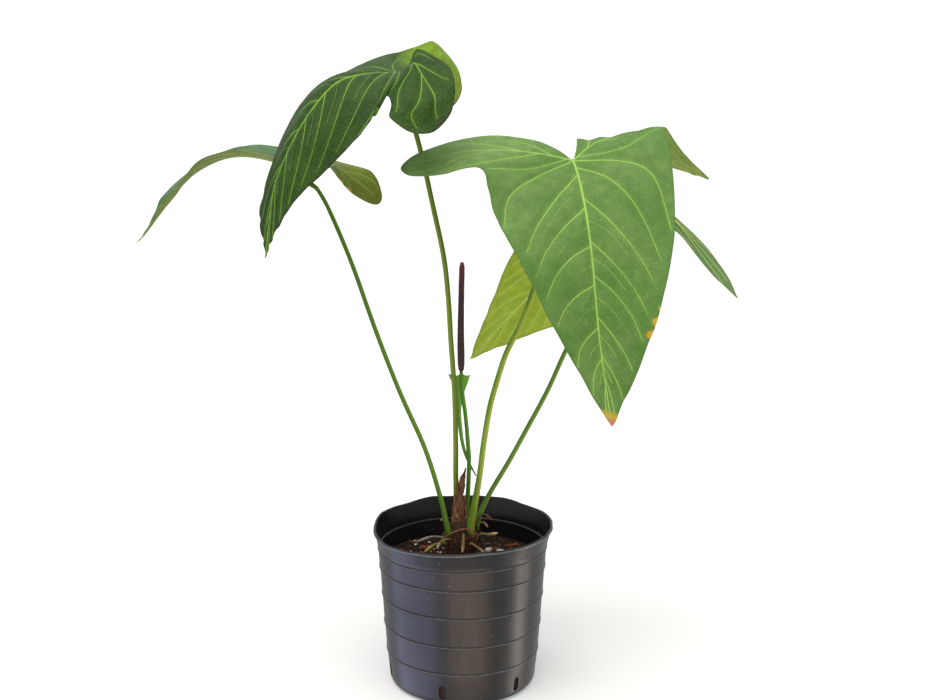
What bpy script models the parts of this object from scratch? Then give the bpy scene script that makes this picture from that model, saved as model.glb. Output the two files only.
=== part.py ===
"""Potted anthurium: four arrow-shaped leaves and one flower in a nursery pot.

Metres, +Z up. The origin is the centre of the pot's flat underside, +X is to
the right and -Y is the front. Lengths written in millimetres are turned to
metres by MM.

The pot and the potting mix are turned profiles, the stems and roots are tubes,
and each leaf blade is one flat arrow-shaped outline that is bent in space by
control points along its midrib, its margins and its two rear lobes.
"""

import math
from dataclasses import dataclass

import bmesh
import bpy
import numpy as np
from mathutils import Vector

MM = 0.001
COLLECTION = "Potted_Anthurium"

# Pot: a one-gallon blow-moulded nursery pot, 165 mm across the lip.
POT_HEIGHT = 148 * MM
FOOT_RADIUS = 67 * MM
WALL_TAPER = 0.076              # outward run of the wall per metre of height
WALL_THICKNESS = 1.2 * MM
FOOT_CORNER = 7 * MM
LIP_PROUD = 1.6305 * MM         # how far the lip stands out from the wall
LIP_HEIGHT = 3.5 * MM
STEP_HEIGHTS = (31 * MM, 57 * MM, 84 * MM, 110 * MM, 128 * MM)
STEP_DEPTH = 0.9 * MM
TOP_BAND_FLARE = 3.5 * MM       # the band above the top step leans out more
POT_SEGMENTS = 48
SLOT_COUNT = 6
SLOT_WIDTH = 6 * MM
SLOT_BOTTOM = 7 * MM
SLOT_TOP = 20 * MM
SLOT_FIRST_ANGLE = math.radians(-105)

# The lip of the soft pot is pressed down and out at its front left.
WARP_START = 88 * MM
WARP_ANGLE = math.radians(-135)
WARP_DIP = 3 * MM
WARP_OUT = 1.5 * MM

GAP = 0.4 * MM                  # clearance between neighbouring pieces

# Potting mix.
MIX_EDGE_HEIGHT = 112 * MM
MIX_MOUND = 9 * MM              # rise of the mix at the crown
MOUND_RADIUS = 22 * MM

# Crown: the short upright rhizome.
CROWN_PROFILE = ((0, 149), (6, 148), (10, 144.5), (12.5, 138), (13, 128),
                 (11.5, 114), (8, 104), (0, 102))
CROWN_CENTRE = Vector((0, 0, 125 * MM))
CROWN_STRETCH = 1.1
CROWN_CLEARANCE = 1.04

# Leaf blades.
BLADE_THICKNESS = 1.0 * MM
BLADE_RINGS = (0.3, 0.55, 0.8, 1.0)

# Stalks: each ends in a swollen knuckle just under its blade.
KNUCKLE_LENGTH = 9 * MM
KNUCKLE_SWELL = 1.35
KNUCKLE_END = 0.7
JOINT_GAP = 0.8 * MM


@dataclass(frozen=True)
class Side:
    """Control points of one half of a blade, in millimetres."""

    margin: tuple    # waist, then three points towards the tip
    lobe: tuple      # notch, inner edge, lobe tip, outer edge
    lobe_rib: tuple  # two points along the middle of the lobe


@dataclass(frozen=True)
class Leaf:
    """One leaf: its blade's control points and its stalk."""

    midrib: tuple    # stalk joint, three points, tip
    left: Side
    right: Side
    stalk: tuple     # from the crown up to just under the blade
    stalk_radii: tuple
    colour: tuple
    stalk_colour: tuple


LEAVES = {
    "upper": Leaf(
        midrib=((-55, -20, 546), (-101, -35, 539), (-134, -45, 499),
                (-156, -50, 451), (-162, -50, 394)),
        left=Side(
            margin=((-61, -75, 526), (-70, -95, 507), (-109, -85, 465),
                    (-146, -70, 427)),
            lobe=((-37, -21, 564), (-7, -62, 540), (-22, -86, 498),
                  (-57, -85, 510)),
            lobe_rib=((-41, -48, 549), (-28, -78, 522))),
        right=Side(
            margin=((-55, 50, 565), (-105, 43, 546), (-143, 15, 514),
                    (-170, -22, 434)),
            lobe=((-37, 6, 524), (-9, 64, 520), (-7, 80, 553),
                  (-28, 68, 575)),
            lobe_rib=((-44, 18, 550), (-21, 56, 562))),
        stalk=((-5, 5, 140), (-5, 8, 160), (-6, 7, 186), (-6, 5, 220),
               (-7, 2, 268), (-10, -3, 315), (-12, -6, 352), (-16, -10, 391),
               (-25, -13, 435), (-35, -15, 481), (-45, -16, 516)),
        stalk_radii=(3.4, 2.4, 2.1),
        colour=(0.030, 0.085, 0.028), stalk_colour=(0.16, 0.26, 0.03)),
    "front": Leaf(
        midrib=((93, -30, 474), (102, -70, 427), (107, -92, 373),
                (113, -100, 318), (122, -100, 263)),
        left=Side(
            margin=((170, -20, 500), (175, -55, 441), (166, -85, 380),
                    (144, -100, 317)),
            lobe=((102, 10, 489), (188, 45, 463), (215, 15, 455),
                  (194, 0, 473)),
            lobe_rib=((133, -10, 493), (182, 20, 477))),
        right=Side(
            margin=((17, -65, 467), (25, -80, 434), (47, -100, 395),
                    (79, -105, 335)),
            lobe=((64, -5, 488), (0, -10, 490), (-50, -50, 468),
                  (-18, -70, 463)),
            lobe_rib=((50, -35, 478), (-6, -45, 478))),
        stalk=((7, -6, 136), (8, -8, 150), (15, -10, 192), (19, -12, 225),
               (24, -14, 257), (30, -16, 281), (38, -18, 307), (48, -21, 329),
               (59, -22, 357), (75, -22, 408), (87, -20, 446)),
        stalk_radii=(4.2, 2.7, 2.3),
        colour=(0.105, 0.28, 0.075), stalk_colour=(0.22, 0.34, 0.05)),
    "rear_right": Leaf(
        midrib=((155, 50, 423), (119, 80, 401), (83, 100, 363),
                (44, 115, 317), (7, 120, 276)),
        left=Side(
            margin=((123, 60, 449), (79, 65, 424), (43, 80, 376),
                    (26, 95, 330)),
            lobe=((167, 65, 435), (167, 95, 448), (152, 120, 458),
                  (132, 95, 453)),
            lobe_rib=((146, 65, 440), (147, 90, 449))),
        right=Side(
            margin=((193, 85, 404), (163, 125, 343), (112, 145, 308),
                    (54, 135, 292)),
            lobe=((183, 75, 428), (241, 84, 377), (256, 66, 344),
                  (218, 62, 381)),
            lobe_rib=((179, 70, 420), (213, 70, 397))),
        stalk=((10, 3, 134), (15, 4, 152), (25, 8, 173), (42, 13, 201),
               (58, 17, 230), (77, 22, 265), (93, 27, 300), (114, 30, 343),
               (134, 33, 383), (148, 38, 405)),
        stalk_radii=(3.4, 2.3, 2.0),
        colour=(0.17, 0.32, 0.11), stalk_colour=(0.09, 0.24, 0.04)),
    "left": Leaf(
        midrib=((-139, 85, 458), (-188, 75, 473), (-234, 80, 467),
                (-266, 80, 438), (-304, 70, 394)),
        left=Side(
            margin=((-140, 0, 471), (-179, 20, 480), (-226, 30, 475),
                    (-270, 55, 434)),
            lobe=((-126, 50, 467), (-99, -10, 483), (-107, -30, 493),
                  (-127, -20, 483)),
            lobe_rib=((-134, 40, 472), (-118, 5, 485))),
        right=Side(
            margin=((-137, 145, 470), (-193, 130, 483), (-241, 130, 471),
                    (-286, 100, 433)),
            lobe=((-122, 80, 463), (-106, 118, 437), (-79, 134, 429),
                  (-90, 132, 458)),
            lobe_rib=((-123, 100, 467), (-101, 125, 452))),
        stalk=((-10, -3, 132), (-14, -6, 146), (-20, -3, 173), (-34, 6, 216),
               (-57, 18, 266), (-79, 32, 320), (-101, 50, 378),
               (-122, 68, 424), (-134, 80, 443)),
        stalk_radii=(3.2, 2.2, 1.9),
        colour=(0.12, 0.22, 0.06), stalk_colour=(0.08, 0.24, 0.03)),
}

# Right half of a flat blade of unit length, from the tip to the sinus. The
# stalk joins at (0, 0), the midrib runs up +Y to the tip.
HALF_OUTLINE = (
    (0, 1), (0.035, 0.935), (0.085, 0.84), (0.15, 0.70), (0.225, 0.52),
    (0.295, 0.34), (0.335, 0.18), (0.345, 0.06), (0.35, -0.04),
    (0.41, -0.105), (0.50, -0.15), (0.58, -0.21), (0.61, -0.29),
    (0.57, -0.385), (0.47, -0.43), (0.34, -0.41), (0.20, -0.30),
    (0.09, -0.16))
# Where each control point of a Side sits on that flat half.
FLAT_MARGIN = ((0.35, -0.04), (0.335, 0.18), (0.255, 0.45), (0.12, 0.76))
FLAT_LOBE = ((0.16, -0.25), (0.45, -0.43), (0.61, -0.29), (0.50, -0.15))
FLAT_LOBE_RIB = ((0.21, -0.10), (0.42, -0.22))
FLAT_MIDRIB = ((0, 0), (0, 0.25), (0, 0.5), (0, 0.75), (0, 1))

# Flower: stalk, spadix and the small spathe that hangs behind the stalk.
PEDUNCLE = ((3, 7, 138), (4, 10, 150), (6, 12, 198), (5, 12, 219),
            (3, 12, 243), (0, 12, 267), (-1, 12, 285))
PEDUNCLE_RADII = (2.4, 2.1, 1.6)
SPADIX = ((-1, 12, 285.5), (-1, 12, 290), (-1.2, 12, 323), (-1, 12, 355),
          (-0.3, 12, 381), (-0.2, 12, 384))
SPADIX_RADII = (1.9, 3.3, 3.2, 2.8, 2.4, 1.2)
SPATHE = (  # left edge and right edge of each station, from the auricles down
    ((-13, 13.6, 283), (7, 13.6, 282)), ((-10, 13.8, 276), (5, 13.8, 275)),
    ((-7, 14.2, 266), (1.5, 14.2, 265)), ((-5, 15, 250), (-1, 15.5, 250)),
    ((-4, 15.5, 236), (-0.5, 16.5, 236)), ((-1, 16, 216), (2, 17, 216)),
    ((4, 16.5, 201), (7, 16.5, 200)), ((12, 16, 187), (13, 16, 187)))

# Dry sheath round the base of the upper leaf's stalk: centre, radius and the
# half angle that it wraps, from the crown up.
SHEATH_STATIONS = (
    ((-3, 3, 143), 5.2, 75), ((-3, 4, 152), 5.6, 80),
    ((-3, 4, 163), 6.0, 80), ((-2, 4.5, 174), 4.6, 65),
    ((0, 4.5, 186), 3.4, 45), ((3, 3.5, 199), 2.4, 12))
SHEATH_FACING = math.radians(-95)
DRY_THICKNESS = 0.6 * MM
DRY_FLAP = (((10, -4, 143), (10, -1.5, 143)), ((15, -4.5, 153), (16, -2, 155)),
            ((20, -4.5, 156), (21, -1.5, 157)), ((27, -4, 151), (28, -2, 151)))
FIBRE = ((9, -5, 130), (14, -12, 138), (8, -15, 145.5), (0, -15.5, 146.5),
         (-11, -17, 143), (-19, -20.5, 138))
FIBRE_RADIUS = 0.8

# Aerial roots: points from inside the crown to the tip, and the radius.
ROOTS = (
    ((-8, 2, 130), (-16, 6, 131), (-28, 9, 131), (-42, 10, 126), 1.0),
    ((-8, -2, 124), (-16, -5, 130), (-25, -7, 129), (-34, -8, 123), 1.3),
    ((-7, -7, 132), (-13, -12, 136), (-19, -15, 134.5), (-23, -17, 129), 1.2),
    ((1, -8, 138), (1, -15, 141), (1, -19, 136), (0, -21, 127), 1.3),
    ((4, -8, 128), (8, -15, 133), (14, -18, 130), (20, -18, 125), 1.2),
    ((9, -1, 132), (16, -3, 138), (24, -2, 137), (32, -1, 138), 1.3),
    ((7, 6, 138), (14, 10, 143), (19, 11, 144), (23, 11, 140), 1.1),
    ((-8, 6, 137), (-13, 10, 145), (-18, 13, 146), (-20, 14, 145), 1.1),
    ((2, 9, 132), (5, 18, 136), (9, 26, 131), (12, 32, 121), 1.3),
    ((-4, 9, 130), (-11, 20, 132), (-16, 29, 128), (-18, 35, 120), 1.2),
)
# The chips and grains below are laid out for this foot radius, and shrink or
# grow with the pot's own.
SCATTER_FOOT = 67 * MM
BARK_CHIPS = (  # x, y, turn in degrees, tilt in degrees
    (46, 36, 20, 12), (54, 20, -50, -8), (30, 26, 75, 6),
    (-34, 30, 140, 10), (-56, -6, 80, -6), (14, -52, 10, 8))
CHIP_SIZE = (13, 6, 4)
PERLITE = ((24, 18), (35, 17), (57, 6), (-44, -14), (-24, -44), (-6, 50))
PERLITE_RADIUS = 2.6


def clear_scene():
    """Remove every object of the open scene."""
    for thing in list(bpy.data.objects):
        bpy.data.objects.remove(thing, do_unlink=True)


def make_collection(name):
    """Make a collection under the scene and return it."""
    collection = bpy.data.collections.new(name)
    bpy.context.scene.collection.children.link(collection)
    return collection


def make_material(name, colour, roughness):
    """Make a Principled material of one colour."""
    material = bpy.data.materials.new(name)
    material.use_nodes = True
    shader = material.node_tree.nodes["Principled BSDF"]
    shader.inputs["Base Color"].default_value = (*colour, 1)
    shader.inputs["Roughness"].default_value = roughness
    shader.inputs["Metallic"].default_value = 0
    material.diffuse_color = (*colour, 1)
    return material


def make_object(name, mesh, collection, material=None):
    """Link a mesh as a named object with its own material."""
    thing = bpy.data.objects.new(name, mesh)
    collection.objects.link(thing)
    if material:
        mesh.materials.append(material)
    return thing


def mesh_from_bmesh(name, bm, smooth=True):
    """Write a bmesh into a new mesh with its faces turned out."""
    bmesh.ops.recalc_face_normals(bm, faces=bm.faces)
    mesh = bpy.data.meshes.new(name)
    bm.to_mesh(mesh)
    bm.free()
    if smooth:
        mesh.shade_smooth()
        mesh.set_sharp_from_angle(angle=math.radians(35))
    return mesh


def evaluated_mesh(thing):
    """Return a mesh copy of an object with its modifiers applied."""
    graph = bpy.context.evaluated_depsgraph_get()
    return bpy.data.meshes.new_from_object(thing.evaluated_get(graph))


def curve_through(points, per_span):
    """Read points from a smooth curve that passes through the given ones."""
    nodes = [Vector(p) for p in points]
    nodes = [2 * nodes[0] - nodes[1], *nodes, 2 * nodes[-1] - nodes[-2]]
    found = []
    for a, b, c, d in zip(nodes, nodes[1:], nodes[2:], nodes[3:]):
        for i in range(per_span):
            t = i / per_span
            found.append(0.5 * (2 * b + (c - a) * t
                                + (2 * a - 5 * b + 4 * c - d) * t * t
                                + (3 * b - a - 3 * c + d) * t ** 3))
    return [*found, nodes[-2]]


def blend(values, t):
    """Read a list of evenly spaced values at t from 0 to 1."""
    place = t * (len(values) - 1)
    i = min(int(place), len(values) - 2)
    return values[i] + (values[i + 1] - values[i]) * (place - i)


def turned(name, profile, collection, segments, material=None):
    """Turn a closed profile (radius, height) round the Z axis."""
    mesh = bpy.data.meshes.new(name)
    verts = [(r, 0, z) for r, z in profile]
    mesh.from_pydata(verts, [(i, i + 1) for i in range(len(verts) - 1)], [])
    thing = make_object(name, mesh, collection, material)
    screw = thing.modifiers.new("Turn", "SCREW")
    screw.steps = segments
    screw.render_steps = segments
    screw.use_merge_vertices = True
    screw.merge_threshold = 0.00001
    screw.use_smooth_shade = True
    return thing


def applied(thing, change=None):
    """Apply an object's modifiers, then move its vertices with change."""
    mesh = evaluated_mesh(thing)
    thing.modifiers.clear()
    thing.data = mesh
    if change:
        for vertex in mesh.vertices:
            vertex.co = change(vertex.co)
    return thing


def tube(name, points, radii, collection, material, per_span=2, sides=2):
    """Make a tube mesh through points in millimetres, with filled caps."""
    path = curve_through(points, per_span)
    curve = bpy.data.curves.new(name, "CURVE")
    curve.dimensions = "3D"
    curve.bevel_depth = MM
    curve.bevel_resolution = sides
    curve.use_fill_caps = True
    curve.resolution_u = 1
    spline = curve.splines.new("POLY")
    spline.points.add(len(path) - 1)
    for i, (point, place) in enumerate(zip(spline.points, path)):
        point.co = (*(place * MM), 1)
        point.radius = blend(radii, i / (len(path) - 1))
    guide = bpy.data.objects.new(name + "_route", curve)
    collection.objects.link(guide)
    bm = bmesh.new()
    bm.from_mesh(evaluated_mesh(guide))
    bpy.data.objects.remove(guide, do_unlink=True)
    bmesh.ops.remove_doubles(bm, verts=bm.verts, dist=0.00001)
    return make_object(name, mesh_from_bmesh(name, bm), collection, material)


def cut(thing, *cutters):
    """Cut an object with each cutter."""
    for cutter in cutters:
        boolean = thing.modifiers.new("Cut_" + cutter.name, "BOOLEAN")
        boolean.operation = "DIFFERENCE"
        boolean.solver = "EXACT"
        boolean.object = cutter
    return thing


def strip(name, stations, collection, material, thickness):
    """Make a thin sheet through stations, each a row of points in mm."""
    bm = bmesh.new()
    rows = [[bm.verts.new(Vector(p) * MM) for p in row] for row in stations]
    for low, high in zip(rows, rows[1:]):
        for i in range(len(low) - 1):
            bm.faces.new((low[i], low[i + 1], high[i + 1], high[i]))
    thing = make_object(name, mesh_from_bmesh(name, bm), collection, material)
    solid = thing.modifiers.new("Thickness", "SOLIDIFY")
    solid.thickness = thickness
    solid.offset = 0
    return thing


# --- Pot and potting mix ---------------------------------------------------

def wall_profile(inset, top):
    """Outline of the pot's wall moved inwards, from the axis to the top.

    Each step draws the wall in a little on its way down.
    """
    floor = inset
    corner = FOOT_CORNER - inset
    foot = FOOT_RADIUS - inset
    points = [(0, floor)]
    for i in range(5):
        angle = math.radians(-90 + 22.5 * i)
        points.append((foot - corner + corner * math.cos(angle),
                       floor + corner + corner * math.sin(angle)))

    def radius(z):
        return foot + WALL_TAPER * z

    for z in STEP_HEIGHTS:
        if z < top:
            points.append((radius(z) - STEP_DEPTH / 2, z - 0.8 * MM))
            points.append((radius(z) + STEP_DEPTH / 2, z + 0.8 * MM))
    last = STEP_HEIGHTS[-1]
    flare = TOP_BAND_FLARE * max(0, top - last) / (POT_HEIGHT - last)
    points.append((radius(top) + flare, top))
    return points


def rim_warp(place):
    """Press the upper wall down and out round one direction."""
    rise = (place.z - WARP_START) / (POT_HEIGHT - WARP_START)
    rise = min(max(rise, 0), 1)
    angle = math.atan2(place.y, place.x)
    press = rise * rise * max(0, math.cos(angle - WARP_ANGLE)) ** 3
    out = Vector((place.x, place.y, 0)).normalized() * WARP_OUT * press
    return place + out - Vector((0, 0, WARP_DIP * press))


def make_pot(collection, cutters):
    """Blow-moulded pot with stepped wall, rolled lip and drain slots."""
    lip_foot = POT_HEIGHT - LIP_HEIGHT
    outside = wall_profile(0, lip_foot)
    inside = wall_profile(WALL_THICKNESS, POT_HEIGHT - 0.5 * MM)
    lip_radius = outside[-1][0] + LIP_PROUD
    lip = [(lip_radius, lip_foot + 0.6 * MM),
           (lip_radius, POT_HEIGHT - 0.7 * MM),
           (lip_radius - 0.8 * MM, POT_HEIGHT)]
    profile = [*inside, *reversed(lip), *reversed(outside)]
    pot = turned("pot", profile, collection, POT_SEGMENTS,
                 make_material("pot_plastic", (0.022, 0.021, 0.023), 0.45))
    for i in range(SLOT_COUNT):
        angle = SLOT_FIRST_ANGLE + math.tau * i / SLOT_COUNT
        bpy.ops.mesh.primitive_cube_add(size=1)
        slot = bpy.context.active_object
        slot.name = f"slot_cutter_{i + 1}"
        for owner in list(slot.users_collection):
            owner.objects.unlink(slot)
        cutters.objects.link(slot)
        reach = FOOT_RADIUS + 1 * MM
        slot.location = (reach * math.cos(angle), reach * math.sin(angle),
                         (SLOT_BOTTOM + SLOT_TOP) / 2)
        slot.rotation_euler = (0, 0, angle)
        slot.scale = (10 * MM, SLOT_WIDTH, SLOT_TOP - SLOT_BOTTOM)
        slot.hide_render = True
        slot.display_type = "WIRE"
        cut(pot, slot)
    return applied(pot, rim_warp)


def mix_height(radius):
    """Height of the potting mix at a distance from the axis."""
    hill = math.exp(-((radius / MOUND_RADIUS) ** 2))
    return MIX_EDGE_HEIGHT + MIX_MOUND * hill


def mix_profile(lift):
    """Closed profile of the potting mix with its top raised by lift."""
    outside = wall_profile(WALL_THICKNESS + GAP, MIX_EDGE_HEIGHT)
    edge = outside[-1][0]
    top = [(edge * (1 - i / 7), mix_height(edge * (1 - i / 7)) + lift)
           for i in range(1, 8)]
    outside[-1] = (edge, mix_height(edge) + lift)
    return [*reversed(top), *reversed(outside)]


def make_mix(collection, crown_cutter):
    """Peat and bark mix that fills the pot to below its lip."""
    mix = turned("potting_mix", mix_profile(0), collection, POT_SEGMENTS,
                 make_material("potting_mix", (0.022, 0.011, 0.007), 0.95))
    applied(mix, rim_warp)
    return cut(mix, crown_cutter)


def make_mix_cutter(collection):
    """Guide solid a little larger than the mix, for what rests on it."""
    cutter = turned("mix_cutter", mix_profile(GAP), collection, POT_SEGMENTS)
    applied(cutter, rim_warp)
    cutter.hide_render = True
    cutter.display_type = "WIRE"
    return cutter


# --- Crown, roots and dry pieces -------------------------------------------

def crown_shape(name, collection, grow, material=None):
    """Crown solid, grown about its centre by a factor."""
    profile = [(r * MM, z * MM) for r, z in CROWN_PROFILE]
    crown = turned(name, profile, collection, 24, material)

    def stretch(place):
        wide = Vector((place.x * CROWN_STRETCH, place.y, place.z))
        return CROWN_CENTRE + (wide - CROWN_CENTRE) * grow

    return applied(crown, stretch)


def make_roots(collection, crown_cutter, mix_cutter):
    """Aerial roots that leave the crown and reach for the mix."""
    material = make_material("root", (0.30, 0.20, 0.08), 0.7)
    for i, (*points, radius) in enumerate(ROOTS):
        root = tube(f"root_{i + 1}", points, (radius * 1.15, radius, radius),
                    collection, material)
        cut(root, crown_cutter, mix_cutter)


def make_sheath(collection, crown_cutter):
    """Curled dry sheath of an old leaf."""
    rows = []
    for (x, y, z), radius, half in SHEATH_STATIONS:
        row = []
        for i in range(9):
            angle = SHEATH_FACING + math.radians(half) * (i / 4 - 1)
            row.append((x + radius * math.cos(angle),
                        y + radius * math.sin(angle), z))
        rows.append(row)
    sheath = strip("dry_sheath", rows, collection,
                   make_material("dry_sheath", (0.18, 0.08, 0.045), 0.8),
                   DRY_THICKNESS)
    cut(sheath, crown_cutter)


def make_dry_bits(collection, crown_cutter):
    """Dry flap beside the crown and the fibre arched in front of it."""
    flap = strip("dry_flap", DRY_FLAP, collection,
                 make_material("dry_flap", (0.12, 0.05, 0.03), 0.85),
                 DRY_THICKNESS)
    cut(flap, crown_cutter)
    fibre = tube("dry_fibre", FIBRE, (FIBRE_RADIUS, FIBRE_RADIUS), collection,
                 make_material("dry_fibre", (0.30, 0.14, 0.07), 0.8))
    cut(fibre, crown_cutter)


def make_scatter(collection, mix_cutter):
    """Bark chips and perlite grains seated on the mix."""
    bark = make_material("bark", (0.20, 0.06, 0.025), 0.9)
    white = make_material("perlite", (0.86, 0.85, 0.80), 0.85)
    spread = FOOT_RADIUS / SCATTER_FOOT
    for i, (x, y, turn, tilt) in enumerate(BARK_CHIPS):
        x, y = x * spread, y * spread
        bm = bmesh.new()
        bmesh.ops.create_cube(bm, size=1)
        bmesh.ops.scale(bm, vec=Vector(CHIP_SIZE) * MM * spread,
                        verts=bm.verts)
        bmesh.ops.bevel(bm, geom=bm.edges[:], offset=1 * MM, segments=1,
                        affect="EDGES")
        chip = make_object(f"bark_chip_{i + 1}",
                           mesh_from_bmesh("chip", bm, False), collection, bark)
        height = mix_height(math.hypot(x, y) * MM)
        chip.location = (x * MM, y * MM, height + 1 * MM)
        chip.rotation_euler = (math.radians(tilt), 0, math.radians(turn))
        cut(chip, mix_cutter)
    for i, (x, y) in enumerate(PERLITE):
        x, y = x * spread, y * spread
        bm = bmesh.new()
        bmesh.ops.create_icosphere(bm, subdivisions=2,
                                   radius=PERLITE_RADIUS * MM * spread)
        grain = make_object(f"perlite_{i + 1}", mesh_from_bmesh("grain", bm),
                            collection, white)
        height = mix_height(math.hypot(x, y) * MM)
        grain.location = (x * MM, y * MM, height + 1.2 * MM)
        grain.rotation_euler = (0.4 * i, 0.7 * i, 0)
        cut(grain, mix_cutter)


# --- Leaves ----------------------------------------------------------------

def flat_points():
    """Flat places of all control points, in the order of blade_points."""
    def mirror(points):
        return [(-x, y) for x, y in points]
    half = (*FLAT_MARGIN, *FLAT_LOBE, *FLAT_LOBE_RIB)
    return np.array([*FLAT_MIDRIB, *mirror(half), *half], float)


def blade_points(leaf):
    """Control points of a blade in metres."""
    listed = [*leaf.midrib]
    for side in (leaf.left, leaf.right):
        listed += [*side.margin, *side.lobe, *side.lobe_rib]
    return np.array(listed, float) * MM


class BentSheet:
    """Thin-plate spline that bends the flat blade through its points."""

    def __init__(self, flat, bent):
        count = len(flat)
        self.flat = flat
        linear = np.hstack([np.ones((count, 1)), flat])
        system = np.block([[self.kernel(flat), linear],
                           [linear.T, np.zeros((3, 3))]])
        self.weights = np.linalg.solve(
            system, np.vstack([bent, np.zeros((3, 3))]))

    def kernel(self, places):
        """Spline kernel between places and the control points."""
        gap = np.linalg.norm(places[:, None] - self.flat[None], axis=2)
        return gap ** 2 * np.log(np.maximum(gap, 1e-9))

    def at(self, places):
        """Bent places of flat places."""
        places = np.atleast_2d(np.array(places, float))
        linear = np.hstack([np.ones((len(places), 1)), places])
        return np.hstack([self.kernel(places), linear]) @ self.weights

    def up_at_stalk(self):
        """Unit normal of the upper side where the stalk joins."""
        step = 0.02
        here, right, ahead = self.at([(0, 0.02), (step, 0.02), (0, 0.04)])
        normal = Vector(np.cross(right - here, ahead - here))
        return normal.normalized()


def make_blade(name, sheet, collection, material):
    """Blade as a bent sheet, lofted from the stalk joint to the outline."""
    left = [(-x, y) for x, y in reversed(HALF_OUTLINE)]
    outline = np.array([*left, *HALF_OUTLINE[1:]], float)
    bm = bmesh.new()
    hub = bm.verts.new(sheet.at((0, 0))[0])
    rings = [[bm.verts.new(p) for p in sheet.at(outline * reach)]
             for reach in BLADE_RINGS]
    for i in range(len(outline) - 1):
        bm.faces.new((hub, rings[0][i + 1], rings[0][i]))
        for low, high in zip(rings, rings[1:]):
            bm.faces.new((low[i], low[i + 1], high[i + 1], high[i]))
    mesh = mesh_from_bmesh(name, bm)
    blade = make_object(name, mesh, collection, material)
    solid = blade.modifiers.new("Thickness", "SOLIDIFY")
    solid.thickness = BLADE_THICKNESS
    solid.offset = 0


def make_stalk(name, leaf, sheet, collection, crown_cutter):
    """Leaf stalk with a swollen knuckle that meets the blade squarely."""
    joint = Vector(sheet.at((0, 0))[0])
    down = -sheet.up_at_stalk()
    knuckle = joint + down * KNUCKLE_LENGTH
    end = joint + down * (BLADE_THICKNESS / 2 + JOINT_GAP)
    points = [*leaf.stalk, knuckle / MM, end / MM]
    base, middle, top = leaf.stalk_radii
    spans = len(leaf.stalk) - 2
    radii = [base, *(middle + (top - middle) * i / spans
                     for i in range(spans + 1)),
             top * KNUCKLE_SWELL, top * KNUCKLE_END]
    stalk = tube(name, points, radii, collection,
                 make_material(name, leaf.stalk_colour, 0.45))
    cut(stalk, crown_cutter)


def make_leaf(name, leaf, collection, crown_cutter):
    """One leaf: its blade and its stalk."""
    sheet = BentSheet(flat_points(), blade_points(leaf))
    make_blade(f"blade_{name}", sheet, collection,
               make_material(f"blade_{name}", leaf.colour, 0.4))
    make_stalk(f"petiole_{name}", leaf, sheet, collection, crown_cutter)


# --- Flower ----------------------------------------------------------------

def make_flower(collection, crown_cutter):
    """Flower stalk, maroon spadix and the small hanging spathe."""
    stalk = tube("peduncle", PEDUNCLE, PEDUNCLE_RADII, collection,
                 make_material("peduncle", (0.08, 0.28, 0.02), 0.45))
    cut(stalk, crown_cutter)
    tube("spadix", SPADIX, SPADIX_RADII, collection,
         make_material("spadix", (0.07, 0.02, 0.025), 0.55), sides=3)
    rows = []
    for left, right in SPATHE:
        left, right = Vector(left), Vector(right)
        rows.append([left.lerp(right, i / 4) + Vector((0, bow, 0))
                     for i, bow in enumerate((0, 0.7, 1, 0.7, 0))])
    strip("spathe", rows, collection,
          make_material("spathe", (0.12, 0.30, 0.04), 0.5), 0.8 * MM)


def main():
    """Build the potted plant."""
    clear_scene()
    plant = make_collection(COLLECTION)
    cutters = make_collection("Cutters")
    crown_cutter = crown_shape("crown_cutter", cutters, CROWN_CLEARANCE)
    crown_cutter.hide_render = True
    crown_cutter.display_type = "WIRE"
    mix_cutter = make_mix_cutter(cutters)

    make_pot(plant, cutters)
    make_mix(plant, crown_cutter)
    crown_shape("crown", plant, 1.0,
                make_material("crown", (0.06, 0.03, 0.018), 0.9))
    make_roots(plant, crown_cutter, mix_cutter)
    make_sheath(plant, crown_cutter)
    make_dry_bits(plant, crown_cutter)
    make_scatter(plant, mix_cutter)
    for name, leaf in LEAVES.items():
        make_leaf(name, leaf, plant, crown_cutter)
    make_flower(plant, crown_cutter)


main()
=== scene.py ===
"""Potted anthurium: the finished look of every piece of the plant and its pot.

Metres, +Z up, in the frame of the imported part. Lengths named with _MM or
listed as millimetres are turned to metres by MM.
"""

from __future__ import annotations

import logging
import math
from dataclasses import dataclass, field
from enum import Enum
from typing import Any, Iterable, Sequence

import bmesh
import bpy
import numpy as np
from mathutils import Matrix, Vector, noise

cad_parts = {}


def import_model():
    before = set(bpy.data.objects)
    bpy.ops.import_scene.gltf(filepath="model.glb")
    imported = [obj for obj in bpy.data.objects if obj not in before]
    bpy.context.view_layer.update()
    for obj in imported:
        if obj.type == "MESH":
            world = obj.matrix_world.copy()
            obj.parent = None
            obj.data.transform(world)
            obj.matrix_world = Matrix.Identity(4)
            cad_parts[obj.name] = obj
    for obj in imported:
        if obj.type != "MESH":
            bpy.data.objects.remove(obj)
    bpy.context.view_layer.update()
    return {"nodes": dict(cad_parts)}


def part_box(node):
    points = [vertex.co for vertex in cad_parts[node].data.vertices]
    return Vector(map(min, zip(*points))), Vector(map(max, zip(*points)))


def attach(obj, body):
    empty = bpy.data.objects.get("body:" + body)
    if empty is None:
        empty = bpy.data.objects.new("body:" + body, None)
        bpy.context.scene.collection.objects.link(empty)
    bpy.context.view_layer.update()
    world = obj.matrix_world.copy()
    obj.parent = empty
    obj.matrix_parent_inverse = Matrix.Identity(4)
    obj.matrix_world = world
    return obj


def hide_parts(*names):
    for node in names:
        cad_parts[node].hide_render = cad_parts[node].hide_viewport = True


LOG = logging.getLogger("potted_anthurium")
MM = 0.001
BODY = "root"
Array = np.ndarray
Point = tuple[float, float, float]


# --- Shared tools ----------------------------------------------------------

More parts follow.
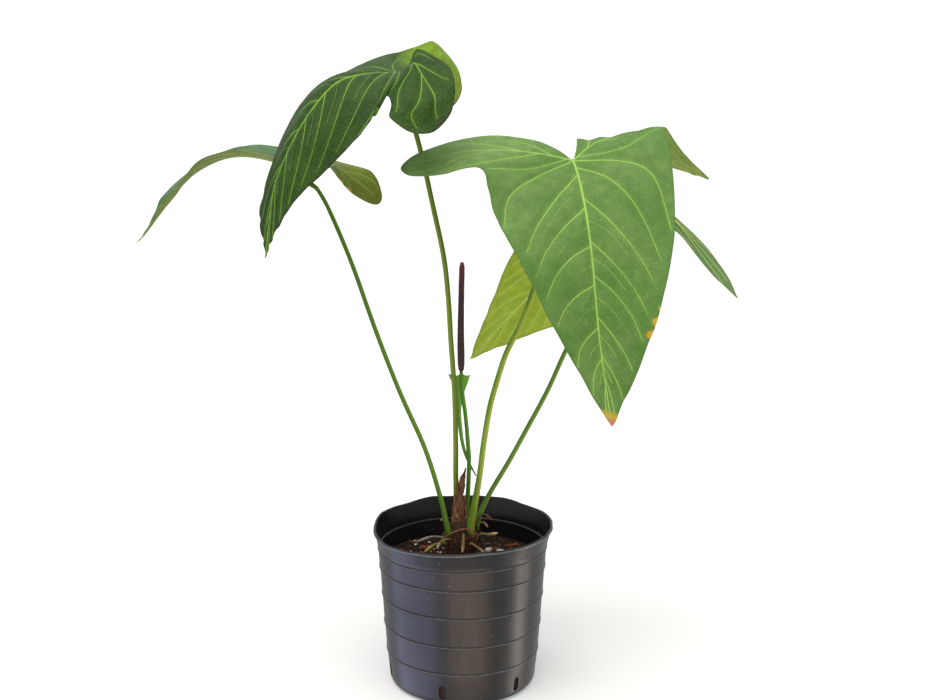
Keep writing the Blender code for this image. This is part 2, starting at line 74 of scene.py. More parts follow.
def srgb(code: str) -> tuple[float, float, float, float]:
    """Turn an sRGB hex value into linear red, green, blue and alpha.

    Args:
        code: six hex digits, with or without a leading #.

    Returns:
        The linear colour with alpha 1.
    """
    digits = code.lstrip("#")
    parts = [int(digits[i:i + 2], 16) / 255 for i in (0, 2, 4)]
    linear = [c / 12.92 if c <= 0.04045 else ((c + 0.055) / 1.055) ** 2.4
              for c in parts]
    return (linear[0], linear[1], linear[2], 1.0)


def per_metre(size_mm: float) -> float:
    """Texture scale whose features are size_mm across."""
    return 1000.0 / size_mm


def add(tree: bpy.types.NodeTree, kind: str,
        inputs: dict[Any, Any] | None = None, **settings: Any) -> Any:
    """Add a node, give it its settings, and set or link its inputs.

    Args:
        tree: the node tree that gets the node.
        kind: the node's type name.
        inputs: input name or index, to a value or the socket to link from.
        settings: the node's own properties.

    Returns:
        The new node.
    """
    made = tree.nodes.new(kind)
    for key, value in settings.items():
        setattr(made, key, value)
    for key, value in (inputs or {}).items():
        if isinstance(value, bpy.types.NodeSocket):
            tree.links.new(value, made.inputs[key])
        else:
            made.inputs[key].default_value = value
    return made


def object_place(tree: bpy.types.NodeTree) -> Any:
    """Socket with the place on the object, in metres."""
    return add(tree, "ShaderNodeTexCoord").outputs["Object"]


def painted(tree: bpy.types.NodeTree, name: str) -> Any:
    """Socket that reads a number stored on the mesh."""
    return add(tree, "ShaderNodeAttribute",
               attribute_name=name).outputs["Fac"]


def between(tree: bpy.types.NodeTree, share: Any, first: Any,
            last: Any) -> Any:
    """Socket with a colour between first and last."""
    return add(tree, "ShaderNodeMix", {0: share, 6: first, 7: last},
               data_type="RGBA").outputs[2]


def mottle(tree: bpy.types.NodeTree, place: Any, size_mm: Any,
           **inputs: float) -> Any:
    """Socket with noise whose features are size_mm across."""
    return add(tree, "ShaderNodeTexNoise",
               {"Vector": place, "Scale": per_metre(size_mm), **inputs}
               ).outputs["Fac"]


def remap(tree: bpy.types.NodeTree, value: Any, low: Any = 0.0,
          high: Any = 1.0, first: Any = 0.0, last: Any = 1.0) -> Any:
    """Socket with value moved from low..high to first..last."""
    return add(tree, "ShaderNodeMapRange",
               {"Value": value, "From Min": low, "From Max": high,
                "To Min": first, "To Max": last}).outputs["Result"]


def calc(tree: bpy.types.NodeTree, operation: str, *values: Any) -> Any:
    """Socket with the result of a sum on one, two or three values."""
    return add(tree, "ShaderNodeMath", dict(enumerate(values)),
               operation=operation).outputs[0]


def new_material(name: str) -> tuple[bpy.types.Material, Any, Any]:
    """Make an empty node material and return it, its tree and its shader."""
    material = bpy.data.materials.new(name)
    material.use_nodes = True
    tree = material.node_tree
    return material, tree, tree.nodes["Principled BSDF"]


def bezier(points: Sequence[Sequence[float]], count: int) -> Array:
    """Read count points from the smooth curve through the given ones.

    Args:
        points: the points that the curve passes through, in 2-D or 3-D.
        count: how many points to return.

    Returns:
        An array with one row for each point, evenly spread by parameter.
    """
    given = np.array(points, float)
    nodes = np.vstack([2 * given[0] - given[1], given,
                       2 * given[-1] - given[-2]])
    place = np.linspace(0, len(given) - 1, count)
    start = np.minimum(place.astype(int), len(given) - 2)
    t = (place - start)[:, None]
    a, b, c, d = (nodes[start + i] for i in range(4))
    return 0.5 * (2 * b + (c - a) * t + (2 * a - 5 * b + 4 * c - d) * t ** 2
                  + (3 * b - a - 3 * c + d) * t ** 3)


def fractal(places: Array, size_mm: float, seed: float = 0.0,
            octaves: int = 4) -> Array:
    """Fractal noise between about -1 and 1 at each place.

    Args:
        places: points in metres, one row each.
        size_mm: size of the largest lumps.
        seed: moves the pattern.
        octaves: how many finer layers it has.

    Returns:
        One value for each place.
    """
    scaled = places * per_metre(size_mm) + seed * 17.3
    return np.array([noise.fractal(Vector(p), 1.0, 2.0, octaves)
                     for p in scaled])


@dataclass
class Shape:
    """Vertices, faces, material numbers and point attributes of a mesh."""

    verts: Array = field(default_factory=lambda: np.zeros((0, 3)))
    faces: list[tuple[int, ...]] = field(default_factory=list)
    slots: list[int] = field(default_factory=list)
    values: dict[str, Array] = field(default_factory=dict)

    def join(self, other: "Shape", slot: int | None = None) -> None:
        """Add another shape to this one.

        Args:
            other: the shape to add.
            slot: material number for its faces, or None to keep its own.
        """
        first = len(self.verts)
        for name in set(self.values) | set(other.values):
            mine = self.values.get(name, np.zeros(first))
            theirs = other.values.get(name, np.zeros(len(other.verts)))
            self.values[name] = np.concatenate([mine, theirs])
        self.verts = np.vstack([self.verts, other.verts])
        self.faces += [tuple(i + first for i in f) for f in other.faces]
        self.slots += (other.slots if slot is None
                       else [slot] * len(other.faces))

    def piece(self, name: str, materials: Sequence[bpy.types.Material],
              sharp_deg: float = 40) -> bpy.types.Object:
        """Make the shape an object.

        Args:
            name: name of the piece.
            materials: its materials, in the order of the material numbers.
            sharp_deg: edges over this angle stay sharp.

        Returns:
            The new object, at the origin.
        """
        mesh = bpy.data.meshes.new(name)
        mesh.from_pydata(self.verts.tolist(), [], self.faces)
        for material in materials:
            mesh.materials.append(material)
        if self.slots:
            mesh.polygons.foreach_set("material_index", self.slots)
        for key, data in self.values.items():
            layer = mesh.attributes.new(key, "FLOAT", "POINT")
            layer.data.foreach_set("value", data.astype(np.float32))
        mesh.update()
        mesh.shade_smooth()
        mesh.set_sharp_from_angle(angle=math.radians(sharp_deg))
        thing = bpy.data.objects.new(name, mesh)
        bpy.context.scene.collection.objects.link(thing)
        return thing


def sweep(path: Array, radii: Sequence[float], sides: int = 20,
          flatten: float = 1.0) -> Shape:
    """Sweep a circle along a path and close both ends.

    Args:
        path: points of the centre line in metres.
        radii: radius at evenly spread places along the path, in metres.
        sides: how many sides the tube has.
        flatten: height of the section over its width.

    Returns:
        A closed tube with the point attributes along and flank. along runs
        from 0 to 1, and flank is how far the surface faces +X.
    """
    count = len(path)
    radius = np.interp(np.linspace(0, 1, count),
                       np.linspace(0, 1, len(radii)), radii)
    ahead = np.gradient(path, axis=0)
    ahead /= np.linalg.norm(ahead, axis=1, keepdims=True)
    side = np.cross(ahead[0], (0, 1, 0.01))
    side /= np.linalg.norm(side)
    rings, normals = [], []
    angles = np.linspace(0, math.tau, sides, endpoint=False)
    for i in range(count):
        side = side - ahead[i] * np.dot(side, ahead[i])
        side /= np.linalg.norm(side)
        other = np.cross(ahead[i], side)
        spoke = (np.cos(angles)[:, None] * side
                 + flatten * np.sin(angles)[:, None] * other)
        rings.append(path[i] + radius[i] * spoke)
        normals.append(spoke[:, 0])
    cap_low = path[0] - ahead[0] * radius[0] * 0.3
    cap_high = path[-1] + ahead[-1] * radius[-1] * 0.5
    verts = np.vstack([*rings, cap_low, cap_high])
    faces: list[tuple[int, ...]] = []
    for i in range(count - 1):
        for j in range(sides):
            k = (j + 1) % sides
            faces.append((i * sides + j, i * sides + k,
                          (i + 1) * sides + k, (i + 1) * sides + j))
    low, high = count * sides, count * sides + 1
    last = (count - 1) * sides
    for j in range(sides):
        k = (j + 1) % sides
        faces.append((low, k, j))
        faces.append((high, last + j, last + k))
    along = np.concatenate([np.repeat(np.linspace(0, 1, count), sides),
                            [0, 1]])
    flank = np.concatenate([*normals, [0, 0]])
    return Shape(verts, faces, [0] * len(faces),
                 {"along": along, "flank": flank})


def revolve(profile: Sequence[tuple[float, float]], segments: int) -> Shape:
    """Turn a profile that starts and ends on the axis into a closed solid.

    Args:
        profile: radius and height of each point, from the inside up and over
            and down the outside.
        segments: how many steps the turn has.

    Returns:
        The closed solid.
    """
    inner = profile[1:-1]
    angles = np.linspace(0, math.tau, segments, endpoint=False)
    rows = [np.stack([r * np.cos(angles), r * np.sin(angles),
                      np.full(segments, z)], 1) for r, z in inner]
    verts = np.vstack([*rows, (0, 0, profile[0][1]), (0, 0, profile[-1][1])])
    first, last = len(verts) - 2, len(verts) - 1
    faces: list[tuple[int, ...]] = []
    for j in range(segments):
        k = (j + 1) % segments
        faces.append((first, j, k))
        for i in range(len(inner) - 1):
            faces.append((i * segments + j, (i + 1) * segments + j,
                          (i + 1) * segments + k, i * segments + k))
        base = (len(inner) - 1) * segments
        faces.append((last, base + k, base + j))
    return Shape(verts, faces, [0] * len(faces))


def settle(piece: bpy.types.Object, nodes: Iterable[str]) -> bpy.types.Object:
    """Let a piece ride on the plant and stand for its CAD nodes.

    Args:
        piece: the finished object.
        nodes: the CAD nodes that it replaces.

    Returns:
        The same object.
    """
    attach(piece, BODY)
    names = list(nodes)
    if names:
        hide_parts(*names)
    LOG.info("%s: %d faces", piece.name, len(piece.data.polygons))
    return piece


# --- Pot -------------------------------------------------------------------

@dataclass(frozen=True)
class PotPlastic:
    """Blow-moulded recycled HDPE: near-black, satin and dusty, with pale lines
    along its beads that are partly scuffing and partly painted highlight.
    """

    base: str = "#0e1013"
    worn: str = "#26211e"
    dust: str = "#8d8880"
    bead_scuff_and_highlight: str = "#8b9094"
    roughness: float = 0.31
    drift_mm: float = 60
    streak_mm: float = 5
    grain_mm: float = 0.6
    speck_mm: float = 7

    def make(self) -> bpy.types.Material:
        """Build the material."""
        material, tree, shader = new_material("pot_hdpe")
        place = object_place(tree)
        drift = mottle(tree, place, self.drift_mm, Detail=4.0)
        # Stretched along the draw of the mould, so it reads as faint streaks.
        drawn = add(tree, "ShaderNodeMapping",
                    {"Vector": place, "Scale": (1, 1, 0.08)}).outputs[0]
        streak = mottle(tree, drawn, self.streak_mm, Detail=3.0)
        wear = remap(tree, drift, low=0.4, high=0.75, last=0.75)
        body = between(tree, wear, srgb(self.base), srgb(self.worn))
        cells = add(tree, "ShaderNodeTexVoronoi",
                    {"Vector": place, "Scale": per_metre(self.speck_mm)}
                    ).outputs["Distance"]
        speck = remap(tree, cells, low=0.11, high=0.05, last=0.6)
        rare = remap(tree, drift, low=0.52, high=0.6)
        dusted = calc(tree, "MULTIPLY", speck, rare)
        dirty = between(tree, dusted, body, srgb(self.dust))
        # Pale lines along the beads: partly scuffing, partly painted highlight
        # on each bead's edge.
        bead = painted(tree, "bead")
        bead_scuff_and_highlight_mask = calc(tree, "MULTIPLY", bead, streak)
        colour = between(tree, bead_scuff_and_highlight_mask, dirty, srgb(self.bead_scuff_and_highlight))
        tree.links.new(colour, shader.inputs["Base Color"])
        rough = remap(tree, streak, first=self.roughness - 0.05,
                      last=self.roughness + 0.12)
        tree.links.new(rough, shader.inputs["Roughness"])
        grain = mottle(tree, place, self.grain_mm, Detail=2.0)
        height = calc(tree, "ADD", streak, grain)
        bump = add(tree, "ShaderNodeBump",
                   {"Height": height, "Strength": 0.12,
                    "Distance": 0.3 * MM}).outputs[0]
        tree.links.new(bump, shader.inputs["Normal"])
        return material


@dataclass
class NurseryPot:
    """Round soft pot with a stepped wall, a rolled lip and drain slots."""

    height: float = 148 * MM
    foot: float = 67 * MM
    taper: float = 0.076
    wall: float = 1.2 * MM
    corner: float = 7 * MM
    lip_radius: float = 82.5 * MM
    lip_height: float = 3.5 * MM
    steps: tuple[float, ...] = (0.031, 0.057, 0.084, 0.110, 0.128)
    step_depth: float = 0.9 * MM
    flare: float = 3.5 * MM
    segments: int = 288
    slots: int = 6
    slot_width: float = 6 * MM
    slot_low: float = 7 * MM
    slot_high: float = 20 * MM
    first_slot_deg: float = -105
    warp_start: float = 88 * MM
    warp_deg: float = -135
    warp_dip: float = 3 * MM
    warp_out: float = 1.5 * MM
    side_press: float = 3 * MM
    finish: PotPlastic = PotPlastic()

    def wall_line(self, inset: float, top: float) -> list[tuple[float, float]]:
        """Outline of the wall moved inwards, from the axis up to top.

        Args:
            inset: how far the outline lies inside the outer face.
            top: height where it ends.

        Returns:
            Radius and height of each point.
        """
        corner, foot = self.corner - inset, self.foot - inset
        points = [(0.0, inset), (foot * 0.5, inset)]
        for i in range(9):
            angle = math.radians(-90 + 11.25 * i)
            points.append((foot - corner + corner * math.cos(angle),
                           inset + corner + corner * math.sin(angle)))
        half = self.step_depth / 2
        for z in self.steps:
            if z >= top:
                continue
            radius = foot + self.taper * z
            # The wall steps in below a narrow proud bead.
            points += [(radius - half, z - 5 * MM),
                       (radius - half, z - 0.9 * MM),
                       (radius + half * 0.4, z - 0.5 * MM),
                       (radius + half * 1.6, z - 0.2 * MM),
                       (radius + half * 1.7, z + 0.3 * MM),
                       (radius + half * 0.9, z + 0.7 * MM),
                       (radius + half * 0.7, z + 2.2 * MM)]
        last = self.steps[-1]
        rise = max(0.0, top - last) / (self.height - last)
        end = foot + self.taper * top + self.flare * rise
        if top > last:
            start_radius = foot + self.taper * last + half * 0.9
            for t in (0.35, 0.7):
                z = last + (top - last) * t
                points.append((start_radius + (end - start_radius)
                               * t ** 1.3, z))
        points.append((end, top))
        return points

    def warp(self, verts: Array) -> Array:
        """Press the upper wall down and out round one direction."""
        rise = np.clip((verts[:, 2] - self.warp_start)
                       / (self.height - self.warp_start), 0, 1)
        angle = np.arctan2(verts[:, 1], verts[:, 0])
        lean = np.cos(angle - math.radians(self.warp_deg))
        press = rise ** 2 * np.maximum(0, lean) ** 3
        reach = np.maximum(np.linalg.norm(verts[:, :2], axis=1), 1e-6)
        out = verts.copy()
        out[:, :2] += verts[:, :2] / reach[:, None] * (
            self.warp_out * press)[:, None]
        out[:, 2] -= self.warp_dip * press
        return out

    def slot_cutter(self, index: int) -> bpy.types.Object:
        """Round-ended cutter for one drain slot."""
        angle = (math.radians(self.first_slot_deg)
                 + math.tau * index / self.slots)
        cosine, sine = math.cos(angle), math.sin(angle)
        half = self.slot_width / 2
        bm = bmesh.new()
        outline = []
        for turn, centre in ((0.0, self.slot_high - half),
                             (math.pi, self.slot_low + half)):
            for i in range(9):
                a = turn + math.pi * i / 8
                outline.append((half * math.cos(a),
                                centre + half * math.sin(a)))
        for depth in (self.foot - 9 * MM, self.foot + 9 * MM):
            ring = [bm.verts.new((depth * cosine - y * sine,
                                  depth * sine + y * cosine, z))
                    for y, z in outline]
            bm.faces.new(ring)
        bm.verts.ensure_lookup_table()
        count = len(outline)
        for i in range(count):
            k = (i + 1) % count
            bm.faces.new((bm.verts[i], bm.verts[k], bm.verts[count + k],
                          bm.verts[count + i]))
        bmesh.ops.recalc_face_normals(bm, faces=bm.faces)
        mesh = bpy.data.meshes.new(f"slot_{index}")
        bm.to_mesh(mesh)
        bm.free()
        cutter = bpy.data.objects.new(f"slot_{index}", mesh)
        bpy.context.scene.collection.objects.link(cutter)
        return cutter

    def build(self) -> bpy.types.Object:
        """Make the pot and cut its drain slots."""
        lip_foot = self.height - self.lip_height
        inside = self.wall_line(self.wall, self.height - 0.6 * MM)
        outside = self.wall_line(0, lip_foot)
        roll = [(self.lip_radius - 0.5 * MM + 0.5 * MM * math.cos(a),
                 lip_foot + 1 * MM + 0.5 * MM * math.sin(a))
                for a in np.radians((-80, -40, 0))]
        crest = [(self.lip_radius - 0.9 * MM + 0.9 * MM * math.cos(a),
                  self.height - 0.9 * MM + 0.9 * MM * math.sin(a))
                 for a in np.radians((5, 30, 60, 90, 120, 150))]
        profile = [*inside, *reversed(crest), *reversed(roll),
                   *reversed(outside)]
        shape = revolve(profile, self.segments)
        pot = shape.piece("nursery_pot", [self.finish.make()], 50)
        cutters = [self.slot_cutter(i) for i in range(self.slots)]
        for cutter in cutters:
            cut = pot.modifiers.new(cutter.name, "BOOLEAN")
            cut.operation = "DIFFERENCE"
            cut.solver = "EXACT"
            cut.object = cutter
        graph = bpy.context.evaluated_depsgraph_get()
        mesh = bpy.data.meshes.new_from_object(pot.evaluated_get(graph))
        pot.modifiers.clear()
        pot.data = mesh
        for cutter in cutters:
            bpy.data.objects.remove(cutter, do_unlink=True)
        flat = np.empty(len(mesh.vertices) * 3)
        mesh.vertices.foreach_get("co", flat)
        flat = flat.reshape(-1, 3)
        # Mask of the step beads and the lip line, where the pale line of
        # scuffing and painted highlight goes.
        bead = sum(np.exp(-((flat[:, 2] - z) / (0.38 * MM)) ** 2)
                   for z in (*self.steps, self.height - 2.4 * MM))
        worn = mesh.attributes.new("bead", "FLOAT", "POINT")
        worn.data.foreach_set("value", bead.astype(np.float32))
        verts = self.warp(flat)
        # The soft wall is never quite round or flat, least of all its lip.
        angle = np.arctan2(verts[:, 1], verts[:, 0])
        turn = np.stack([np.cos(angle), np.sin(angle),
                         0 * angle], 1) * 60 * MM
        lip = np.clip((flat[:, 2] - 120 * MM) / (28 * MM), 0, 1) ** 2
        verts[:, 2] += lip * fractal(turn, 34, 8.0, 3) * 1.5 * MM
        wave = fractal(verts, 70, 3.0, 2) * 0.35 * MM
        wave += lip * fractal(turn, 26, 5.0, 3) * 1.4 * MM
        wave -= lip * self.side_press * np.exp(
            -(((angle % math.tau) - math.pi) / 0.55) ** 2)
        rise = np.clip((verts[:, 2] - 10 * MM) / (60 * MM), 0, 1)
        reach = np.maximum(np.linalg.norm(verts[:, :2], axis=1), 1e-6)
        verts[:, :2] *= (1 + wave * rise / reach)[:, None]
        mesh.vertices.foreach_set("co", verts.ravel())
        mesh.update()
        mesh.shade_smooth()
        mesh.set_sharp_from_angle(angle=math.radians(50))
        return settle(pot, ["pot"])


# --- Potting mix -----------------------------------------------------------

class Grain(Enum):
    """Kinds of loose grain on the mix."""

    CRUMB = "crumb"
    BARK = "bark"
    PERLITE = "perlite"


@dataclass(frozen=True)
class GrainFinish:
    """Dry crumb of peat, bark or expanded volcanic glass: matt and rough."""

    name: str
    dark: str
    light: str
    lump_mm: float
    roughness: float = 0.9

    def make(self) -> bpy.types.Material:
        """Build the material, with colour that changes between grains."""
        material, tree, shader = new_material(self.name)
        place = object_place(tree)
        broad = mottle(tree, place, self.lump_mm * 3, Detail=2.0)
        mixed = remap(tree, broad, low=0.35, high=0.68)
        colour = between(tree, mixed, srgb(self.dark), srgb(self.light))
        tree.links.new(colour, shader.inputs["Base Color"])
        shader.inputs["Roughness"].default_value = self.roughness
        fine = mottle(tree, place, self.lump_mm / 3, Detail=4.0)
        bump = add(tree, "ShaderNodeBump",
                   {"Height": fine, "Strength": 0.7,
                    "Distance": 0.4 * MM}).outputs[0]
        tree.links.new(bump, shader.inputs["Normal"])
        return material


GRAIN_FINISHES = {
    Grain.CRUMB: GrainFinish("peat_crumb", "#120b08", "#3a2517", 2.0),
    Grain.BARK: GrainFinish("pine_bark", "#35190f", "#9a5434", 5.0),
    Grain.PERLITE: GrainFinish("perlite", "#d9d6cd", "#fbfaf5", 3.0),
}


@dataclass(frozen=True)
class Scatter:
    """How one kind of grain is strewn."""

    grain: Grain
    per_square_metre: float
    size: float
    stretch: float
    seed: int


@dataclass
class PottingMix:
    """Peat and bark mix, mounded at the crown, with loose grains on top."""

    edge_height: float = 112 * MM
    mound: float = 9 * MM
    mound_radius: float = 22 * MM
    gap: float = 0.4 * MM
    lump: float = 1.6 * MM
    rings: int = 90
    segments: int = 260
    strewn: tuple[Scatter, ...] = (
        Scatter(Grain.CRUMB, 150000, 1.3 * MM, 1.6, 3),
        Scatter(Grain.BARK, 16000, 1.25 * MM, 3.0, 11),
        Scatter(Grain.PERLITE, 4200, 1.25 * MM, 1.3, 29),
    )

    def height(self, radius: Array) -> Array:
        """Mean height of the surface at a distance from the axis."""
        hill = np.exp(-((radius / self.mound_radius) ** 2))
        return self.edge_height + self.mound * hill

    def surface(self, reach: float, rings: int) -> tuple[Array, list]:
        """Lumpy top surface as rings of points with its faces.

        Args:
            reach: outer radius.
            rings: how many rings it has.

        Returns:
            The points and the faces.
        """
        angles = np.linspace(0, math.tau, self.segments, endpoint=False)
        rows = []
        for i in range(1, rings + 1):
            radius = reach * i / rings
            rows.append(np.stack([radius * np.cos(angles),
                                  radius * np.sin(angles),
                                  np.zeros(self.segments)], 1))
        flat = np.vstack([np.zeros((1, 3)), *rows])
        radius = np.linalg.norm(flat[:, :2], axis=1)
        edge = np.clip((reach - radius) / (4 * MM), 0, 1)
        lumps = fractal(flat, 9, 1.0) * self.lump * edge
        flat[:, 2] = self.height(radius) + lumps - 0.4 * MM
        faces = []
        count = self.segments
        for j in range(count):
            k = (j + 1) % count
            faces.append((0, 1 + j, 1 + k))
            for i in range(rings - 1):
                a, b = 1 + i * count, 1 + (i + 1) * count
                faces.append((a + j, b + j, b + k, a + k))
        return flat, faces

    def strew(self, kind: Scatter, reach: float) -> bpy.types.Object:
        """Strew one kind of grain over the mix with Geometry Nodes.

        Args:
            kind: what is strewn and how thickly.
            reach: radius of the strewn disc.

        Returns:
            The grains as one plain mesh object.
        """
        verts, faces = self.surface(reach, 24)
        host = Shape(verts, faces, [0] * len(faces)).piece(
            f"{kind.grain.value}_grains", [])
        material = GRAIN_FINISHES[kind.grain].make()
        tree = bpy.data.node_groups.new(f"strew_{kind.grain.value}",
                                        "GeometryNodeTree")
        face = tree.interface
        face.new_socket("Surface", in_out="INPUT",
                        socket_type="NodeSocketGeometry")
        sockets = {}
        for name, value in (("Density", kind.per_square_metre),
                            ("Size", kind.size), ("Stretch", kind.stretch)):
            made = face.new_socket(name, in_out="INPUT",
                                   socket_type="NodeSocketFloat")
            sockets[made.identifier] = value
        seed = face.new_socket("Seed", in_out="INPUT",
                               socket_type="NodeSocketInt")
        face.new_socket("Grains", in_out="OUTPUT",
                        socket_type="NodeSocketGeometry")
        given = add(tree, "NodeGroupInput")
        spots = add(tree, "GeometryNodeDistributePointsOnFaces",
                    {"Mesh": given.outputs["Surface"],
                     "Density": given.outputs["Density"],
                     "Seed": given.outputs["Seed"]})
        grain = add(tree, "GeometryNodeMeshIcoSphere",
                    {"Radius": 1.0, "Subdivisions": 2 if
                     kind.grain is Grain.PERLITE else 1})
        size = add(tree, "FunctionNodeRandomValue",
                   {2: 0.4, 3: 1.35, "Seed": given.outputs["Seed"]},
                   data_type="FLOAT").outputs[1]
        scaled = add(tree, "ShaderNodeMath",
                     {0: size, 1: given.outputs["Size"]},
                     operation="MULTIPLY").outputs[0]
        long_side = add(tree, "ShaderNodeMath",
                        {0: scaled, 1: given.outputs["Stretch"]},
                        operation="MULTIPLY").outputs[0]
        thin = calc(tree, "MULTIPLY", scaled, 0.6)
        scale = add(tree, "ShaderNodeCombineXYZ",
                    {0: long_side, 1: scaled, 2: thin}).outputs[0]
        turn = add(tree, "FunctionNodeRandomValue",
                   {0: (-0.6, -0.6, 0.0), 1: (0.6, 0.6, math.tau),
                    "Seed": given.outputs["Seed"]},
                   data_type="FLOAT_VECTOR").outputs[0]
        laid = add(tree, "GeometryNodeInstanceOnPoints",
                   {"Points": spots.outputs["Points"],
                    "Instance": grain.outputs["Mesh"],
                    "Rotation": turn, "Scale": scale})
        real = add(tree, "GeometryNodeRealizeInstances",
                   {0: laid.outputs[0]})
        # Broken faces: each grain is knocked about by noise of its own size.
        place = add(tree, "GeometryNodeInputPosition").outputs[0]
        rough = add(tree, "ShaderNodeTexNoise",
                    {"Vector": place,
                     "Scale": 0.9 / kind.size, "Detail": 1.0},
                    noise_dimensions="3D").outputs["Color"]
        centred = add(tree, "ShaderNodeVectorMath",
                      {0: rough, 1: (0.5, 0.5, 0.5)},
                      operation="SUBTRACT").outputs[0]
        knocked = add(tree, "ShaderNodeVectorMath",
                      {0: centred, "Scale": kind.size * 1.1},
                      operation="SCALE").outputs[0]
        moved = add(tree, "GeometryNodeSetPosition",
                    {0: real.outputs[0], "Offset": knocked})
        dressed = add(tree, "GeometryNodeSetMaterial",
                      {0: moved.outputs[0], "Material": material})
        out = add(tree, "NodeGroupOutput")
        tree.links.new(dressed.outputs[0], out.inputs["Grains"])
        modifier = host.modifiers.new("Strew", "NODES")
        modifier.node_group = tree
        for identifier, value in sockets.items():
            modifier[identifier] = value
        modifier[seed.identifier] = kind.seed
        graph = bpy.context.evaluated_depsgraph_get()
        mesh = bpy.data.meshes.new_from_object(host.evaluated_get(graph))
        host.modifiers.clear()
        host.data = mesh
        return host

    def build(self, pot: NurseryPot) -> None:
        """Make the mix and its loose grains.

        Args:
            pot: the pot that the mix fills.
        """
        inside = pot.wall_line(pot.wall + self.gap, self.edge_height)
        reach = inside[-1][0]
        verts, faces = self.surface(reach, self.rings)
        count = self.segments
        angles = np.linspace(0, math.tau, count, endpoint=False)
        below = [(r, z) for r, z in reversed(inside[1:-1])]
        first_edge = len(verts) - count
        rows = [verts]
        for r, z in below:
            rows.append(np.stack([r * np.cos(angles), r * np.sin(angles),
                                  np.full(count, z)], 1))
        rows.append(np.array([[0, 0, inside[0][1]]]))
        allv = np.vstack(rows)
        for i in range(len(below)):
            a = first_edge + i * count
            b = a + count
            for j in range(count):
                k = (j + 1) % count
                faces.append((a + j, b + j, b + k, a + k))
        base = first_edge + len(below) * count
        centre = len(allv) - 1
        faces += [(centre, base + (j + 1) % count, base + j)
                  for j in range(count)]
        shape = Shape(pot.warp(allv), faces, [0] * len(faces))
        mix = shape.piece("potting_mix_body",
                          [GRAIN_FINISHES[Grain.CRUMB].make()], 60)
        settle(mix, ["potting_mix"])
        slots = {Grain.CRUMB: ("potting_mix", []),
                 Grain.BARK: ("bark", []), Grain.PERLITE: ("perlite", [])}
        for kind in self.strewn:
            slot, nodes = slots[kind.grain]
            settle(self.strew(kind, reach - 2.5 * MM), nodes)
        self.build_marked_grains()

    def build_marked_grains(self) -> None:
        """Make the larger bark chips and perlite grains where they lie."""
        for grain, stem, count, slot in ((Grain.BARK, "bark_chip", 6, "bark"),
                                         (Grain.PERLITE, "perlite", 6,
                                          "perlite")):
            whole = Shape()
            names = [f"{stem}_{i + 1}" for i in range(count)]
            for i, name in enumerate(names):
                low, high = (Vector(c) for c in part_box(name))
                bm = bmesh.new()
                bmesh.ops.create_icosphere(bm, subdivisions=4, radius=1.0)
                unit = np.array([v.co for v in bm.verts])
                faces = [tuple(v.index for v in f.verts) for f in bm.faces]
                bm.free()
                # A chip is blocky, a grain of perlite is a popped lump.
                power = 0.55 if grain is Grain.BARK else 0.85
                block = np.sign(unit) * np.abs(unit) ** power
                half = np.array((high - low) / 2) * (
                    1.0 if grain is Grain.BARK else 1.2)
                if grain is Grain.BARK:
                    half *= (1.05, 0.55, 0.8)
                turn = 0.9 * i + 0.4
                spin = np.array([[math.cos(turn), -math.sin(turn), 0],
                                 [math.sin(turn), math.cos(turn), 0],
                                 [0, 0, 1]])
                verts = (block * half) @ spin.T
                knock = fractal(verts, 3.5, i + 2.0, 3)
                verts *= (1 + 0.34 * knock)[:, None]
                verts += np.array((low + high) / 2) - (0, 0, 0.3 * MM)
                whole.join(Shape(verts, faces, [0] * len(faces)))
            piece = whole.piece(f"{stem}_marked",
                                [GRAIN_FINISHES[grain].make()], 35)
            settle(piece, names)


# --- Living tissue finishes -------------------------------------------------

@dataclass(frozen=True)
class StemFinish:
    """Living stem under a waxy skin: satin, faint ribs, and painted light and
    shade, one flank lighter than the other.
    """

    name: str
    base: str
    shade: str
    lit: str
    foot: str
    flank_from: float = -0.6
    flank_to: float = 0.8
    rib_mm: float = 0.7
    roughness: float = 0.42

    def make(self) -> bpy.types.Material:
        """Build the material from the attributes along and flank."""
        material, tree, shader = new_material(self.name)
        flank = painted(tree, "flank")
        along = painted(tree, "along")
        place = object_place(tree)
        drift = mottle(tree, place, 18, Detail=3.0)
        # Painted light and shade: the colour changes with how far the surface
        # faces +X, one flank lighter and the other darker.
        side = add(tree, "ShaderNodeMapRange",
                   {"Value": flank, "From Min": self.flank_from,
                    "From Max": self.flank_to}, interpolation_type="SMOOTHSTEP"
                   ).outputs["Result"]
        flank_light_shade = between(tree, side, srgb(self.shade), srgb(self.lit))
        blotch = remap(tree, drift, low=0.3, high=0.75, last=0.6)
        body = between(tree, blotch, flank_light_shade, srgb(self.base))
        low = remap(tree, along, low=0.10, high=0.0, last=0.7)
        colour = between(tree, low, body, srgb(self.foot))
        tree.links.new(colour, shader.inputs["Base Color"])
        shader.inputs["Roughness"].default_value = self.roughness
        shader.inputs["Specular IOR Level"].default_value = 0.22
        drawn = add(tree, "ShaderNodeMapping",
                    {"Vector": place, "Scale": (1, 1, 0.03)}).outputs[0]
        rib = mottle(tree, drawn, self.rib_mm, Detail=2.0)
        bump = add(tree, "ShaderNodeBump",
                   {"Height": rib, "Strength": 0.25,
                    "Distance": 0.2 * MM}).outputs[0]
        tree.links.new(bump, shader.inputs["Normal"])
        return material


